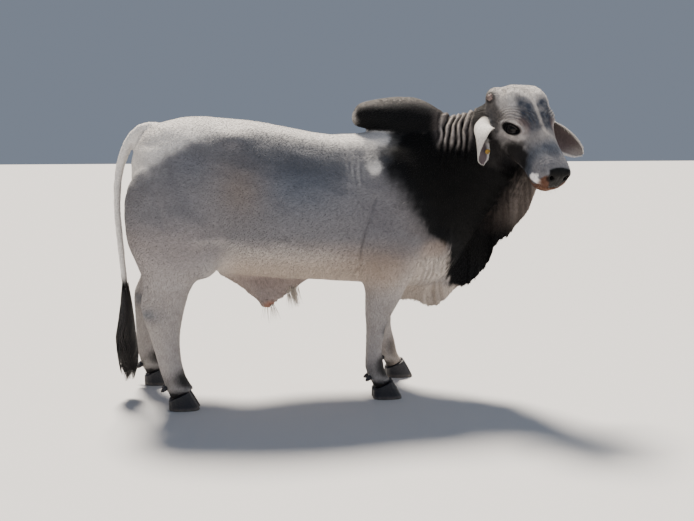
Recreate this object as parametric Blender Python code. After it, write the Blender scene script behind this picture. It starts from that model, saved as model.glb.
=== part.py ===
# A grey Brahman bull, life size and standing still, with its head turned to its right.
# Metres, +Z up, +X towards the chest, +Y to the bull's left. The hooves stand on z = 0.
import math
import random

import bmesh
import bpy
import numpy as np
from mathutils import Matrix, Vector
from mathutils.bvhtree import BVHTree

# Driving sizes
GAP = 0.0003                 # kept between pieces that touch
BODY_VOXEL = 0.014           # fineness of the flesh before it is thinned out
HEAD_VOXEL = 0.0065
BODY_TRIANGLES = 4700        # torso, neck and legs together
HEAD_TRIANGLES = 3780        # before the neck is cut off it
HUMP_TRIANGLES = 340
SIDES = 28                   # points round a section of the body

# Trunk sections: x, top, bottom, half width, height of the widest point
TRUNK = (
    (-0.750, 1.260, 1.060, 0.040, 1.160),
    (-0.718, 1.345, 0.930, 0.130, 1.130),
    (-0.660, 1.420, 0.800, 0.225, 1.120),
    (-0.550, 1.464, 0.730, 0.262, 1.110),
    (-0.420, 1.484, 0.690, 0.288, 1.100),
    (-0.260, 1.474, 0.665, 0.316, 1.080),
    (-0.070, 1.452, 0.640, 0.352, 1.040),
    (0.100, 1.418, 0.625, 0.366, 1.010),
    (0.270, 1.390, 0.612, 0.356, 0.990),
    (0.420, 1.396, 0.598, 0.326, 0.985),
    (0.580, 1.415, 0.578, 0.292, 0.980),
    (0.740, 1.425, 0.565, 0.262, 0.960),
    (0.870, 1.400, 0.600, 0.222, 0.950),
    (0.960, 1.330, 0.680, 0.150, 0.950),
)

# Neck sections: x, y, top, bottom, half width, turn to the right in degrees
NECK = (
    (0.680, 0.000, 1.400, 0.620, 0.235, 0.0),
    (0.800, 0.000, 1.450, 0.590, 0.230, 0.0),
    (0.900, -0.004, 1.482, 0.620, 0.212, 6.0),
    (0.985, -0.022, 1.500, 0.720, 0.190, 16.0),
    (1.060, -0.060, 1.530, 0.860, 0.168, 30.0),
    (1.115, -0.110, 1.560, 0.985, 0.150, 44.0),
    (1.155, -0.165, 1.572, 1.085, 0.134, 56.0),
    (1.190, -0.220, 1.550, 1.160, 0.112, 66.0),
)

# Hump sections: x, top, bottom, half width
HUMP = (
    (0.392, 1.492, 1.452, 0.030),
    (0.402, 1.520, 1.432, 0.062),
    (0.430, 1.546, 1.420, 0.088),
    (0.500, 1.570, 1.405, 0.104),
    (0.620, 1.584, 1.330, 0.116),
    (0.735, 1.584, 1.300, 0.118),
    (0.800, 1.556, 1.300, 0.112),
    (0.870, 1.516, 1.300, 0.098),
    (0.950, 1.480, 1.300, 0.080),
)

# Leg sections from the body down: z, back, front, half width, distance from the middle
FORELEG = (
    (1.000, 0.470, 0.800, 0.070, 0.185),
    (0.880, 0.430, 0.815, 0.088, 0.198),
    (0.780, 0.420, 0.780, 0.096, 0.206),
    (0.690, 0.422, 0.720, 0.094, 0.206),
    (0.620, 0.428, 0.668, 0.086, 0.203),
    (0.550, 0.432, 0.634, 0.078, 0.200),
    (0.490, 0.432, 0.602, 0.071, 0.196),
    (0.435, 0.434, 0.570, 0.066, 0.193),
    (0.375, 0.441, 0.550, 0.056, 0.191),
    (0.310, 0.442, 0.534, 0.046, 0.190),
    (0.235, 0.441, 0.532, 0.045, 0.190),
    (0.165, 0.438, 0.542, 0.055, 0.190),
    (0.115, 0.458, 0.560, 0.051, 0.190),
    (0.070, 0.478, 0.592, 0.056, 0.190),
    (0.040, 0.488, 0.600, 0.050, 0.190),
)
HINDLEG = (
    (1.180, -0.730, -0.360, 0.110, 0.150),
    (1.050, -0.772, -0.310, 0.138, 0.168),
    (0.930, -0.776, -0.295, 0.148, 0.182),
    (0.840, -0.760, -0.305, 0.140, 0.192),
    (0.760, -0.728, -0.345, 0.120, 0.200),
    (0.690, -0.702, -0.405, 0.098, 0.206),
    (0.620, -0.696, -0.450, 0.080, 0.211),
    (0.550, -0.716, -0.474, 0.069, 0.216),
    (0.480, -0.704, -0.492, 0.062, 0.221),
    (0.400, -0.676, -0.510, 0.055, 0.225),
    (0.320, -0.650, -0.516, 0.050, 0.228),
    (0.240, -0.630, -0.508, 0.049, 0.230),
    (0.165, -0.611, -0.490, 0.057, 0.230),
    (0.115, -0.596, -0.462, 0.053, 0.230),
    (0.070, -0.580, -0.425, 0.057, 0.230),
    (0.040, -0.572, -0.415, 0.050, 0.230),
)
FORE_SHIFT = 0.140           # the left forefoot stands this far ahead of the right one
HIND_SHIFT = -0.165          # and the left hind foot this far behind
SHIFT_TOP = 0.82             # height where that shift ends

# The head, in its own frame: x from the poll down the face, y to its left, z out of the forehead
POLL = Vector((1.228, -0.205, 1.617))
HEAD_TURN = math.radians(75.0)
HEAD_DROP = math.radians(45.0)
# Head sections: x, forehead side, throat side, half width, height of the widest point
HEAD = (
    (-0.085, -0.080, -0.200, 0.066, -0.140),
    (-0.045, -0.026, -0.235, 0.112, -0.110),
    (0.000, 0.030, -0.252, 0.140, -0.090),
    (0.060, 0.052, -0.268, 0.148, -0.084),
    (0.125, 0.052, -0.280, 0.146, -0.078),
    (0.185, 0.044, -0.280, 0.137, -0.078),
    (0.250, 0.031, -0.258, 0.119, -0.084),
    (0.320, 0.018, -0.216, 0.100, -0.080),
    (0.390, 0.009, -0.196, 0.092, -0.080),
    (0.450, 0.003, -0.188, 0.096, -0.080),
    (0.505, -0.003, -0.178, 0.095, -0.078),
    (0.545, -0.014, -0.162, 0.081, -0.076),
    (0.570, -0.034, -0.132, 0.054, -0.076),
)
EYE = Vector((0.230, 0.106, -0.056))
EYE_RADIUS = 0.0260
EYE_OUT = Vector((0.36, 0.84, 0.38))       # the way the left eye looks
EYE_LENGTH = Vector((0.85, -0.35, 0.30))   # from its outer corner to its inner one
LID_SIZE = (0.0300, 0.0450, 0.0370)        # half depth, half length and half height of the eyelids
LID_OPENING = (0.0305, 0.0215)             # half length and half height of the eye's opening
EAR_ROOT = Vector((0.056, 0.146, -0.142))
HORN_BUD = Vector((0.018, 0.150, -0.044))
BUD_SIZE = (0.024, 0.021, 0.021)
NOSTRIL = Vector((0.558, 0.040, -0.052))
NOSTRIL_SIZE = (0.026, 0.0115, 0.0185)
MOUTH = (0.440, 0.566, -0.122, -0.112)     # corner and front along the head, and their heights
MOUTH_DEPTH = 0.009
MOUTH_HEIGHT = 0.0022        # half the width of the line between the lips

# Ear shape along its length: share of the length, half width along the curl, half angle of the curl
EAR = (
    (0.00, 0.062, 2.25),
    (0.10, 0.072, 1.95),
    (0.28, 0.084, 1.50),
    (0.48, 0.086, 1.22),
    (0.66, 0.074, 1.00),
    (0.82, 0.055, 0.82),
    (0.93, 0.036, 0.66),
    (1.00, 0.010, 0.50),
)
EAR_WALL = (0.0110, 0.0050)  # wall thickness at the root and from a third of the length on
# Each ear's tip from its root, how far it bows near the root, where its opening faces at the tip, how
# much more it is rolled up at the root, how far the opening turns away towards the root, and its width
RIGHT_EAR = (Vector((-0.058, -0.135, -0.240)), Vector((-0.050, -0.062, 0.006)),
             Vector((0.54, -0.84, 0.05)), 0.30, 1.62, 1.06)
LEFT_EAR = (Vector((0.238, -0.095, -0.194)), Vector((0.006, 0.010, -0.006)),
            Vector((-0.15, -0.90, -0.30)), 0.0, 0.0, 1.0)
EAR_TURN_END = 0.90          # share of its length where that turn has faded out

# Dewlap slices from between the forelegs to the chin: x, y, top, bottom, half width at the top
DEWLAP = (
    (0.540, 0.000, 0.640, 0.585, 0.022),
    (0.585, 0.000, 0.650, 0.520, 0.040),
    (0.650, 0.000, 0.670, 0.484, 0.052),
    (0.720, 0.000, 0.690, 0.480, 0.060),
    (0.775, 0.000, 0.710, 0.464, 0.068),
    (0.815, 0.000, 0.725, 0.438, 0.072),
    (0.860, 0.000, 0.745, 0.436, 0.072),
    (0.915, 0.000, 0.780, 0.474, 0.070),
    (0.985, -0.004, 0.840, 0.532, 0.066),
    (1.050, -0.014, 0.940, 0.560, 0.060),
    (1.110, -0.030, 1.040, 0.622, 0.055),
    (1.158, -0.056, 1.120, 0.705, 0.050),
    (1.185, -0.092, 1.170, 0.800, 0.046),
    (1.218, -0.140, 1.200, 0.838, 0.042),
    (1.250, -0.195, 1.230, 0.900, 0.037),
    (1.275, -0.250, 1.250, 0.975, 0.031),
    (1.290, -0.305, 1.260, 1.060, 0.024),
    (1.300, -0.350, 1.250, 1.130, 0.014),
)
DEWLAP_EDGE = 0.012          # half thickness of its hanging edge
DEWLAP_WAVE = 0.020          # sideways swing of its folds at the edge
DEWLAP_FOLDS = 7

# Sheath slices under the belly: x, top, bottom, half width
SHEATH = (
    (-0.320, 0.700, 0.655, 0.030),
    (-0.240, 0.700, 0.606, 0.048),
    (-0.170, 0.700, 0.552, 0.055),
    (-0.115, 0.700, 0.496, 0.054),
    (-0.070, 0.700, 0.448, 0.044),
    (-0.020, 0.700, 0.492, 0.048),
    (0.040, 0.700, 0.534, 0.048),
    (0.100, 0.700, 0.578, 0.044),
    (0.170, 0.700, 0.624, 0.030),
)

# Tail centre line and thickness: x, z, radius
TAIL = (
    (-0.610, 1.418, 0.036),
    (-0.690, 1.412, 0.034),
    (-0.750, 1.352, 0.030),
    (-0.796, 1.255, 0.026),
    (-0.820, 1.140, 0.023),
    (-0.828, 1.000, 0.021),
    (-0.822, 0.860, 0.020),
    (-0.814, 0.740, 0.019),
    (-0.808, 0.640, 0.018),
    (-0.804, 0.580, 0.016),
)
TAIL_SPLIT = 1.000           # height where the tail is parted in two
TAIL_END = 0.585             # height where the switch takes over
# Switch centre line and its half width: x, z, radius
SWITCH = (
    (-0.804, 0.5845, 0.019),
    (-0.803, 0.520, 0.026),
    (-0.806, 0.430, 0.036),
    (-0.812, 0.340, 0.046),
    (-0.808, 0.250, 0.048),
    (-0.803, 0.170, 0.042),
    (-0.812, 0.088, 0.022),
)
SWITCH_CORE_SHARE = 0.52     # the core's length as a share of the switch's
SWITCH_LOCKS = 22
LOCK_WIDTH = 0.0125          # half width and half thickness of a lock where it is thickest
LOCK_THICKNESS = 0.0045
LOCK_TIP = 0.0013            # half width at its end
LOCK_WAVE = 0.007
GOLDEN_ANGLE = math.radians(137.508)       # turn from one lock's root to the next

# Where the flesh is parted: a point on the plane and the way it faces
HEAD_PLANE = (Vector((1.170, -0.130, 1.260)), Vector((0.62, -0.70, 0.35)))
NECK_PLANE = (Vector((0.855, 0.000, 1.100)), Vector((0.988, 0.000, 0.152)))
# Boxes that part the legs: centre and size of the right one, and its lean about y in degrees
FORE_BOX = (Vector((0.565, -0.300, 0.300)), (0.370, 0.400, 0.760), -6.0)
HIND_BOX = (Vector((-0.660, -0.290, 0.330)), (0.540, 0.460, 0.900), 10.0)

# Coronet, where the leg ends and the hoof starts: heel x, heel z and front z of each foot
FORE_CORONET = (0.478, 0.052, 0.100)
HIND_CORONET = (-0.582, 0.052, 0.100)
CLAW_LENGTH = (0.148, 0.108)  # at the floor and at the coronet
CLAW_WIDTH = (0.054, 0.050)
CLEFT = 0.0035               # half the gap between the two claws at the heel
SPLAY = math.radians(2.6)    # how far each claw turns outwards
DEWCLAW_HEIGHT = 0.118
DEWCLAW_SIZE = (0.040, 0.013)  # length and radius at the root

TAG_RADIUS = 0.0135
TAG_THICKNESS = 0.0030
TAG_PIN = 0.0028             # radius of the pin through the ear
TAG_CLEARANCE = 0.0030       # between the ear's curved wall and each button
TAG_PLACE = (0.76, -0.80)     # share of the ear's length, and share of its curl towards the front edge

SHEATH_OPENING = (Vector((-0.060, 0.0, 0.452)), (0.011, 0.012, 0.028), math.radians(-24))
SCROTUM = (-0.535, 0.520)    # x and height of its lower part
SCROTUM_TRIANGLES = 260

# Colours
PALE_HIDE = (0.52, 0.50, 0.47)
DARK_HIDE = (0.06, 0.06, 0.065)
BARE_SKIN = (0.42, 0.28, 0.20)
HOOF_HORN = (0.030, 0.028, 0.027)
BUD_HORN = (0.40, 0.28, 0.24)
EYE_COLOUR = (0.010, 0.008, 0.007)
SWITCH_HAIR = (0.015, 0.014, 0.014)
TAG_YELLOW = (0.75, 0.55, 0.05)


def clear_scene():
    for obj in list(bpy.data.objects):
        bpy.data.objects.remove(obj)


def make_material(name, colour, roughness):
    material = bpy.data.materials.new(name)
    material.use_nodes = True
    shader = material.node_tree.nodes["Principled BSDF"]
    shader.inputs["Base Color"].default_value = (*colour, 1.0)
    shader.inputs["Roughness"].default_value = roughness
    shader.inputs["Metallic"].default_value = 0.0
    return material


def add_object(name, bm):
    mesh = bpy.data.meshes.new(name)
    bm.to_mesh(mesh)
    bm.free()
    obj = bpy.data.objects.new(name, mesh)
    bpy.context.scene.collection.objects.link(obj)
    return obj


def remove(*objects):
    for obj in objects:
        bpy.data.objects.remove(obj)


def refine(rows, count):
    """Rows read at count places from a Catmull-Rom curve through the given rows."""
    rows = np.array(rows, float)
    last = len(rows) - 1
    padded = np.vstack([2 * rows[0] - rows[1], rows, 2 * rows[-1] - rows[-2]])
    made = []
    for place in np.linspace(0, last, count):
        i = min(int(place), last - 1)
        t = place - i
        a, b, c, d = padded[i:i + 4]
        made.append(0.5 * (2 * b + (c - a) * t + (2 * a - 5 * b + 4 * c - d) * t ** 2
                           + (3 * b - a - 3 * c + d) * t ** 3))
    return made


def section(centre, side, up, width, above, below, power=2.2, sides=SIDES):
    """A ring of points round centre: width to each side, above and below it along up."""
    ring = []
    for k in range(sides):
        angle = 2 * math.pi * k / sides
        c, s = math.cos(angle), math.sin(angle)
        across = math.copysign(abs(c) ** (2 / power), c) * width
        along = math.copysign(abs(s) ** (2 / power), s) * (above if s > 0 else below)
        ring.append(centre + side * across + up * along)
    return ring


def loft(name, rings):
    """A closed skin over a row of rings with the same number of points."""
    bm = bmesh.new()
    loops = [[bm.verts.new(p) for p in ring] for ring in rings]
    for first, second in zip(loops, loops[1:]):
        for k in range(len(first)):
            n = (k + 1) % len(first)
            bm.faces.new((first[k], first[n], second[n], second[k]))
    bm.faces.new(list(reversed(loops[0])))
    bm.faces.new(loops[-1])
    bmesh.ops.recalc_face_normals(bm, faces=bm.faces)
    return add_object(name, bm)


def ball(name, centre, radii, turn=None, segments=24):
    """An ellipsoid with the given radii, turned by a matrix before it is placed."""
    bm = bmesh.new()
    bmesh.ops.create_uvsphere(bm, u_segments=segments, v_segments=segments // 2, radius=1.0)
    matrix = Matrix.Translation(centre) @ (turn or Matrix.Identity(4)) @ Matrix.Diagonal((*radii, 1.0))
    bmesh.ops.transform(bm, matrix=matrix, verts=bm.verts)
    return add_object(name, bm)


def block(name, centre, size, turn=None):
    bm = bmesh.new()
    bmesh.ops.create_cube(bm, size=1.0)
    matrix = Matrix.Translation(centre) @ (turn or Matrix.Identity(4)) @ Matrix.Diagonal((*size, 1.0))
    bmesh.ops.transform(bm, matrix=matrix, verts=bm.verts)
    return add_object(name, bm)


def copy_of(obj, name):
    made = bpy.data.objects.new(name, obj.data.copy())
    bpy.context.scene.collection.objects.link(made)
    return made


def apply_modifiers(obj):
    graph = bpy.context.evaluated_depsgraph_get()
    mesh = bpy.data.meshes.new_from_object(obj.evaluated_get(graph))
    obj.modifiers.clear()
    obj.data = mesh


def joined(name, objects):
    """One object holding the meshes of all the given ones, which are removed."""
    bm = bmesh.new()
    for obj in objects:
        bm.from_mesh(obj.data)
    remove(*objects)
    return add_object(name, bm)


def keep_largest(obj):
    """Leaves only the closed surface with the greatest volume."""
    bm = bmesh.new()
    bm.from_mesh(obj.data)
    left = set(bm.verts)
    shells = []
    while left:
        stack = [left.pop()]
        shell = set(stack)
        while stack:
            for edge in stack.pop().link_edges:
                for vert in edge.verts:
                    if vert in left:
                        left.discard(vert)
                        shell.add(vert)
                        stack.append(vert)
        shells.append(shell)
    if len(shells) > 1:
        best = max(shells, key=len)
        bmesh.ops.delete(bm, geom=[v for v in bm.verts if v not in best], context="VERTS")
        bm.to_mesh(obj.data)
    bm.free()


def remesh(obj, voxel):
    """Fuses what overlaps into one skin of even quads."""
    modifier = obj.modifiers.new("fuse", "REMESH")
    modifier.mode = "VOXEL"
    modifier.voxel_size = voxel
    apply_modifiers(obj)


def points_of(obj):
    co = np.zeros(len(obj.data.vertices) * 3)
    obj.data.vertices.foreach_get("co", co)
    return co.reshape(-1, 3)


def set_points(obj, co):
    obj.data.vertices.foreach_set("co", co.ravel())
    obj.data.update()


def normals_of(obj):
    normals = np.zeros(len(obj.data.vertices) * 3)
    obj.data.vertices.foreach_get("normal", normals)
    return normals.reshape(-1, 3)


def relax(obj, rounds, weight):
    """Evens the surface out; weight is a share for each point, from 0 to 1."""
    edges = np.zeros(len(obj.data.edges) * 2, np.int64)
    obj.data.edges.foreach_get("vertices", edges)
    a, b = edges.reshape(-1, 2).T
    co = points_of(obj)
    count = len(co)
    degree = (np.bincount(a, minlength=count) + np.bincount(b, minlength=count))[:, None]
    for _ in range(rounds):
        total = np.stack([np.bincount(a, co[b, k], count) + np.bincount(b, co[a, k], count)
                          for k in range(3)], axis=1)
        co += 0.5 * weight[:, None] * (total / degree - co)
    set_points(obj, co)


def thin_out(obj, triangles):
    """Collapses the mesh to about this many triangles."""
    faces = sum(len(p.vertices) - 2 for p in obj.data.polygons)
    modifier = obj.modifiers.new("thin", "DECIMATE")
    modifier.ratio = min(1.0, triangles / faces)
    apply_modifiers(obj)


def grown(obj, name, by):
    """A copy pushed outwards along its normals, used as a cutter."""
    made = copy_of(obj, name)
    set_points(made, points_of(made) + normals_of(made) * by)
    return made


def boolean(obj, cutter, operation):
    """Cuts or joins. The second solver serves where the exact one gives back nothing."""
    whole = obj.data
    for solver in ("EXACT", "MANIFOLD"):
        obj.data = whole
        modifier = obj.modifiers.new("cut", "BOOLEAN")
        modifier.operation = operation
        modifier.object = cutter
        modifier.solver = solver
        apply_modifiers(obj)
        if obj.data.polygons:
            break
    keep_largest(obj)


def cut_clear(obj, *neighbours, by=GAP):
    """Takes from obj the space of its neighbours and a thin gap round them."""
    for neighbour in neighbours:
        cutter = grown(neighbour, "cutter", by)
        boolean(obj, cutter, "DIFFERENCE")
        remove(cutter)


def fused(name, objects):
    """One closed body made of a collection of closed pieces by a single Boolean union."""
    first, *others = objects
    group = bpy.data.collections.new(name + "_pieces")
    bpy.context.scene.collection.children.link(group)
    for obj in others:
        bpy.context.scene.collection.objects.unlink(obj)
        group.objects.link(obj)
    modifier = first.modifiers.new("union", "BOOLEAN")
    modifier.operation = "UNION"
    modifier.operand_type = "COLLECTION"
    modifier.collection = group
    modifier.solver = "EXACT"
    apply_modifiers(first)
    remove(*others)
    bpy.data.collections.remove(group)
    keep_largest(first)
    first.name = name
    return first


def head_matrix():
    turn, drop = HEAD_TURN, HEAD_DROP
    along = Vector((math.cos(drop) * math.cos(turn), -math.cos(drop) * math.sin(turn), -math.sin(drop)))
    left = Vector((math.sin(turn), math.cos(turn), 0.0))
    out = along.cross(left)
    rotation = Matrix((along, left, out)).transposed().to_4x4()
    return Matrix.Translation(POLL) @ rotation


def trunk():
    rings = []
    for x, top, bottom, width, middle in refine(TRUNK, 40):
        centre = Vector((x, 0.0, middle))
        rings.append(section(centre, Vector((0, 1, 0)), Vector((0, 0, 1)), width, top - middle,
                             middle - bottom, 2.3))
    return loft("trunk", rings)


def neck_core():
    rings = []
    for x, y, top, bottom, width, turn in refine(NECK, 24):
        angle = math.radians(turn)
        side = Vector((math.sin(angle), math.cos(angle), 0.0))
        middle = 0.52 * top + 0.48 * bottom
        rings.append(section(Vector((x, y, middle)), side, Vector((0, 0, 1)), width, top - middle,
                             middle - bottom, 2.1))
    return loft("neck_core", rings)


def hump_core():
    rings = []
    for x, top, bottom, width in refine(HUMP, 22):
        middle = 0.5 * (top + bottom)
        rings.append(section(Vector((x, 0.0, middle)), Vector((0, 1, 0)), Vector((0, 0, 1)), width,
                             top - middle, middle - bottom, 2.3))
    return loft("hump_core", rings)


def leg_core(name, rows, side, shift):
    """A leg from its sections; shift moves the foot along x and fades out up the leg."""
    rings = []
    for z, back, front, width, offset in refine(rows, 44):
        share = max(0.0, 1.0 - z / SHIFT_TOP)
        moved = shift * min(1.0, 1.35 * share) if shift else 0.0
        centre = Vector(((back + front) / 2 + moved, side * offset, z))
        half = (front - back) / 2
        rings.append(section(centre, Vector((1, 0, 0)), Vector((0, 1, 0)), half, width, width, 2.3, 24))
    return loft(name, rings)


def muscles():
    """The masses that show through the hide, on both sides."""
    lean = Matrix.Rotation(math.radians(-14), 4, "Y")
    made = []
    for side in (-1, 1):
        made += [
            ball("shoulder", (0.640, side * 0.205, 1.030), (0.155, 0.100, 0.300), lean),
            ball("shoulder_point", (0.800, side * 0.170, 0.830), (0.110, 0.085, 0.130)),
            ball("elbow", (0.495, side * 0.208, 0.710), (0.085, 0.070, 0.110)),
            ball("hook", (-0.215, side * 0.202, 1.335), (0.120, 0.072, 0.070)),
            ball("pin", (-0.680, side * 0.092, 1.250), (0.058, 0.060, 0.100)),
            ball("thigh", (-0.575, side * 0.178, 1.010), (0.205, 0.132, 0.270)),
            ball("stifle", (-0.390, side * 0.218, 0.790), (0.095, 0.072, 0.130)),
            ball("ribs", (0.080, side * 0.180, 1.000), (0.330, 0.195, 0.300)),
        ]
    return made


def head_core(matrix):
    """The head's masses in its own frame, moved to their place."""
    rings = []
    for x, top, bottom, width, middle in refine(HEAD, 34):
        rings.append(section(Vector((x, 0.0, middle)), Vector((0, 1, 0)), Vector((0, 0, 1)), width,
                             top - middle, middle - bottom, 2.35))
    pieces = [loft("face", rings)]
    for side in (-1, 1):
        pieces += [
            ball("brow", (0.176, side * 0.100, -0.016), (0.066, 0.040, 0.034)),
            ball("cheek", (0.175, side * 0.088, -0.165), (0.100, 0.050, 0.095)),
            ball("forehead", (0.086, side * 0.052, 0.002), (0.102, 0.080, 0.056)),
            ball("upper_lip", (0.484, side * 0.064, -0.102), (0.064, 0.043, 0.044)),
            ball("horn_base", (0.012, side * 0.110, -0.060), (0.070, 0.056, 0.060)),
            ball("ear_root", (0.050, side * 0.128, -0.138), (0.052, 0.046, 0.056)),
            ball("nostril_rim", (0.535, side * 0.046, -0.042), (0.034, 0.034, 0.028)),
        ]
    pieces += [
        ball("chin", (0.486, 0.0, -0.165), (0.064, 0.064, 0.030)),
        ball("nose_bridge", (0.340, 0.0, -0.010), (0.140, 0.052, 0.034)),
    ]
    for piece in pieces:
        piece.data.transform(matrix)
    return pieces


def flesh():
    """Trunk, neck, legs and the back of the head as one soft form."""
    pieces = [trunk(), neck_core(), *muscles()]
    for side, fore, hind in ((-1, 0.0, 0.0), (1, FORE_SHIFT, HIND_SHIFT)):
        pieces.append(leg_core("fore", FORELEG, side, fore))
        pieces.append(leg_core("hind", HINDLEG, side, hind))
    pieces += head_core(head_matrix())
    return joined("flesh", pieces)


def smooth_steps(value, low, high):
    t = np.clip((value - low) / (high - low), 0.0, 1.0)
    return t * t * (3 - 2 * t)


def finish_flesh(obj, voxel):
    """Fuses the form and softens it: much on the body, less on the legs, least at the feet."""
    remesh(obj, voxel)
    co = points_of(obj)
    height = smooth_steps(co[:, 2], 0.20, 0.62)
    forward = 1.0 - 0.6 * smooth_steps(co[:, 0], 1.05, 1.20)
    weight = 0.10 + 0.90 * height * forward
    scale = 0.014 / voxel
    relax(obj, int(16 * scale ** 2), weight)


def facing(direction):
    """A turn that takes +X to the given direction and keeps +Z as upright as it can."""
    x = direction.normalized()
    y = Vector((0, 0, 1)).cross(x).normalized()
    return Matrix((x, y, x.cross(y))).transposed().to_4x4()


def beyond(name, point, normal, gap=0.0, reach=4.0):
    """A large block that fills the side of a plane to which the normal points."""
    direction = normal.normalized()
    centre = point + direction * (reach / 2 + gap)
    return block(name, centre, (reach, reach, reach), facing(direction))


def part_off(obj, name, inner, outer):
    """Splits obj: what lies inside inner is returned, and outer is taken from obj."""
    made = copy_of(obj, name)
    boolean(made, inner, "INTERSECT")
    boolean(obj, outer, "DIFFERENCE")
    remove(inner, outer)
    return made


def part_by_plane(obj, name, plane):
    """Returns the piece of obj past the plane, and leaves the rest a gap away from it."""
    return part_off(obj, name, beyond("inner", *plane, GAP), beyond("outer", *plane))


def part_by_box(obj, name, box, side, shift=0.0):
    centre, size, lean = box
    place = Vector((centre.x + shift, -side * centre.y, centre.z))
    turn = Matrix.Rotation(math.radians(lean), 4, "Y")
    larger = [length + 2 * GAP for length in size]
    return part_off(obj, name, block("inner", place, size, turn), block("outer", place, larger, turn))


def tree_of(obj):
    polygons = [tuple(p.vertices) for p in obj.data.polygons]
    return BVHTree.FromPolygons([v.co for v in obj.data.vertices], polygons)


def mirrored(point, side):
    """A point of the head's left half, or its match on the right one."""
    return Vector((point.x, side * point.y, point.z))


def head_form():
    """The head with the start of the neck, cut off behind the ears and the jaw."""
    obj = joined("head", head_core(head_matrix()) + [neck_core()])
    remesh(obj, HEAD_VOXEL)
    co = points_of(obj)
    along = (co - np.array(POLL)) @ np.array(head_matrix().to_3x3().col[0])
    relax(obj, 26, 1.0 - 0.62 * smooth_steps(along, 0.10, 0.30))
    thin_out(obj, HEAD_TRIANGLES)
    cutter = beyond("cutter", *HEAD_PLANE, GAP)
    boolean(obj, cutter, "INTERSECT")
    remove(cutter)
    return obj


def eye_frame(side):
    """The eye's middle, the way it looks, its length towards the nose and its height."""
    matrix = head_matrix()
    turn = matrix.to_3x3()
    out = (turn @ mirrored(EYE_OUT, side)).normalized()
    length = turn @ mirrored(EYE_LENGTH, side)
    length = (length - out * length.dot(out)).normalized()
    height = turn @ Vector((0, 0, 1))
    height = (height - out * height.dot(out) - length * height.dot(length)).normalized()
    return matrix @ mirrored(EYE, side), out, length, height


def eyelids(side):
    """The mound of both lids over the eyeball, before it is opened."""
    centre, out, length, height = eye_frame(side)
    turn = Matrix((out, length, height)).transposed().to_4x4()
    if turn.determinant() < 0:
        turn.col[2] = -turn.col[2]
    return ball("lids", centre, LID_SIZE, turn, 22)


def eyeball(name, side):
    centre = eye_frame(side)[0]
    return ball(name, centre, (EYE_RADIUS,) * 3, None, 16)


def eye_opening(side):
    """An almond-shaped cutter that opens the lids in front of the eyeball."""
    centre, out, length, height = eye_frame(side)
    rings = []
    for distance, scale in ((0.008, 0.92), (0.024, 1.0), (0.045, 1.25)):
        rings.append(section(centre + out * distance, length, height, LID_OPENING[0] * scale,
                             LID_OPENING[1] * scale, LID_OPENING[1] * 0.8 * scale, 1.6, 16))
    return loft("opening", rings)


def mouth_line(head):
    """A thin wedge that follows the lips from corner to corner, at the depth of their crease."""
    matrix = head_matrix()
    turn = matrix.to_3x3()
    tree = tree_of(head)
    corner, front, corner_height, front_height = MOUTH
    up = turn @ Vector((0, 0, 1))
    rings = []
    stations = 17
    for k in range(stations):
        share = 2 * k / (stations - 1) - 1
        angle = share * math.radians(104)
        height = front_height + (corner_height - front_height) * share * share
        origin = matrix @ Vector((corner + 0.030, 0.0, height))
        way = turn @ Vector((math.cos(angle), math.sin(angle), 0.0))
        reach = tree.ray_cast(origin, way)[3]
        depth = MOUTH_DEPTH * (1 - abs(share) ** 4) + 0.0004
        outer = origin + way * (reach + 0.010)
        inner = origin + way * (reach - depth)
        rings.append([outer + up * 2.2 * MOUTH_HEIGHT, inner + up * 0.3 * MOUTH_HEIGHT,
                      inner - up * 0.3 * MOUTH_HEIGHT, outer - up * 2.2 * MOUTH_HEIGHT])
    return loft("mouth_line", rings)


def nostril(side):
    matrix = head_matrix()
    lean = Matrix.Rotation(side * math.radians(-38), 4, "X")
    piece = ball("nostril", (0, 0, 0), NOSTRIL_SIZE, lean, 14)
    piece.data.transform(matrix @ Matrix.Translation(mirrored(NOSTRIL, side)))
    return piece


def head_details(head, eyes):
    """Eyelids, eye sockets, the line of the mouth and the nostrils."""
    head = fused("head", [head, eyelids(-1), eyelids(1)])
    cutters = [eye_opening(-1), eye_opening(1), mouth_line(head), nostril(-1), nostril(1)]
    for cutter in cutters:
        boolean(head, cutter, "DIFFERENCE")
    remove(*cutters)
    cut_clear(head, *eyes)
    return head


def ear_section(root, shape, share, width, curl):
    """Where an ear's curl has its axis, its radius, its half angle and its two directions there."""
    reach, bow, opening, roll, turned, wide = shape
    centre = root + reach * share + bow * math.sin(math.pi * share ** 0.6)
    step = 0.01
    bend = math.sin(math.pi * (share + step) ** 0.6) - math.sin(math.pi * share ** 0.6)
    ahead = (reach * step + bow * bend).normalized()
    inward = (opening - ahead * opening.dot(ahead)).normalized()
    inward = Matrix.Rotation(-turned * max(0.0, 1 - share / EAR_TURN_END), 3, ahead) @ inward
    radius = wide * width / curl
    rolled = min(2.6, curl + roll * (1 - share) ** 1.5)
    return centre + inward * radius, radius, rolled, inward, ahead.cross(inward)


def ear(name, side):
    """A curled leaf with a fleshy root, open along its front."""
    shape = RIGHT_EAR if side < 0 else LEFT_EAR
    root = head_matrix() @ mirrored(EAR_ROOT, side)
    sides = 7
    rings = []
    for share, width, curl in refine(EAR, 11):
        axis, radius, rolled, inward, across = ear_section(root, shape, share, width, curl)
        fleshy = max(0.0, 1.0 - 3.0 * share)
        wall = EAR_WALL[1] + (EAR_WALL[0] - EAR_WALL[1]) * fleshy
        ring = []
        for half in (0.5, -0.5):
            for k in range(sides):
                place = 2 * k / (sides - 1) - 1
                angle = rolled * place * (1 if half > 0 else -1)
                r = radius + half * wall * (1 - 0.5 * place * place)
                ring.append(axis - inward * r * math.cos(angle) + across * r * math.sin(angle))
        rings.append(ring)
    return loft(name, rings)


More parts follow.
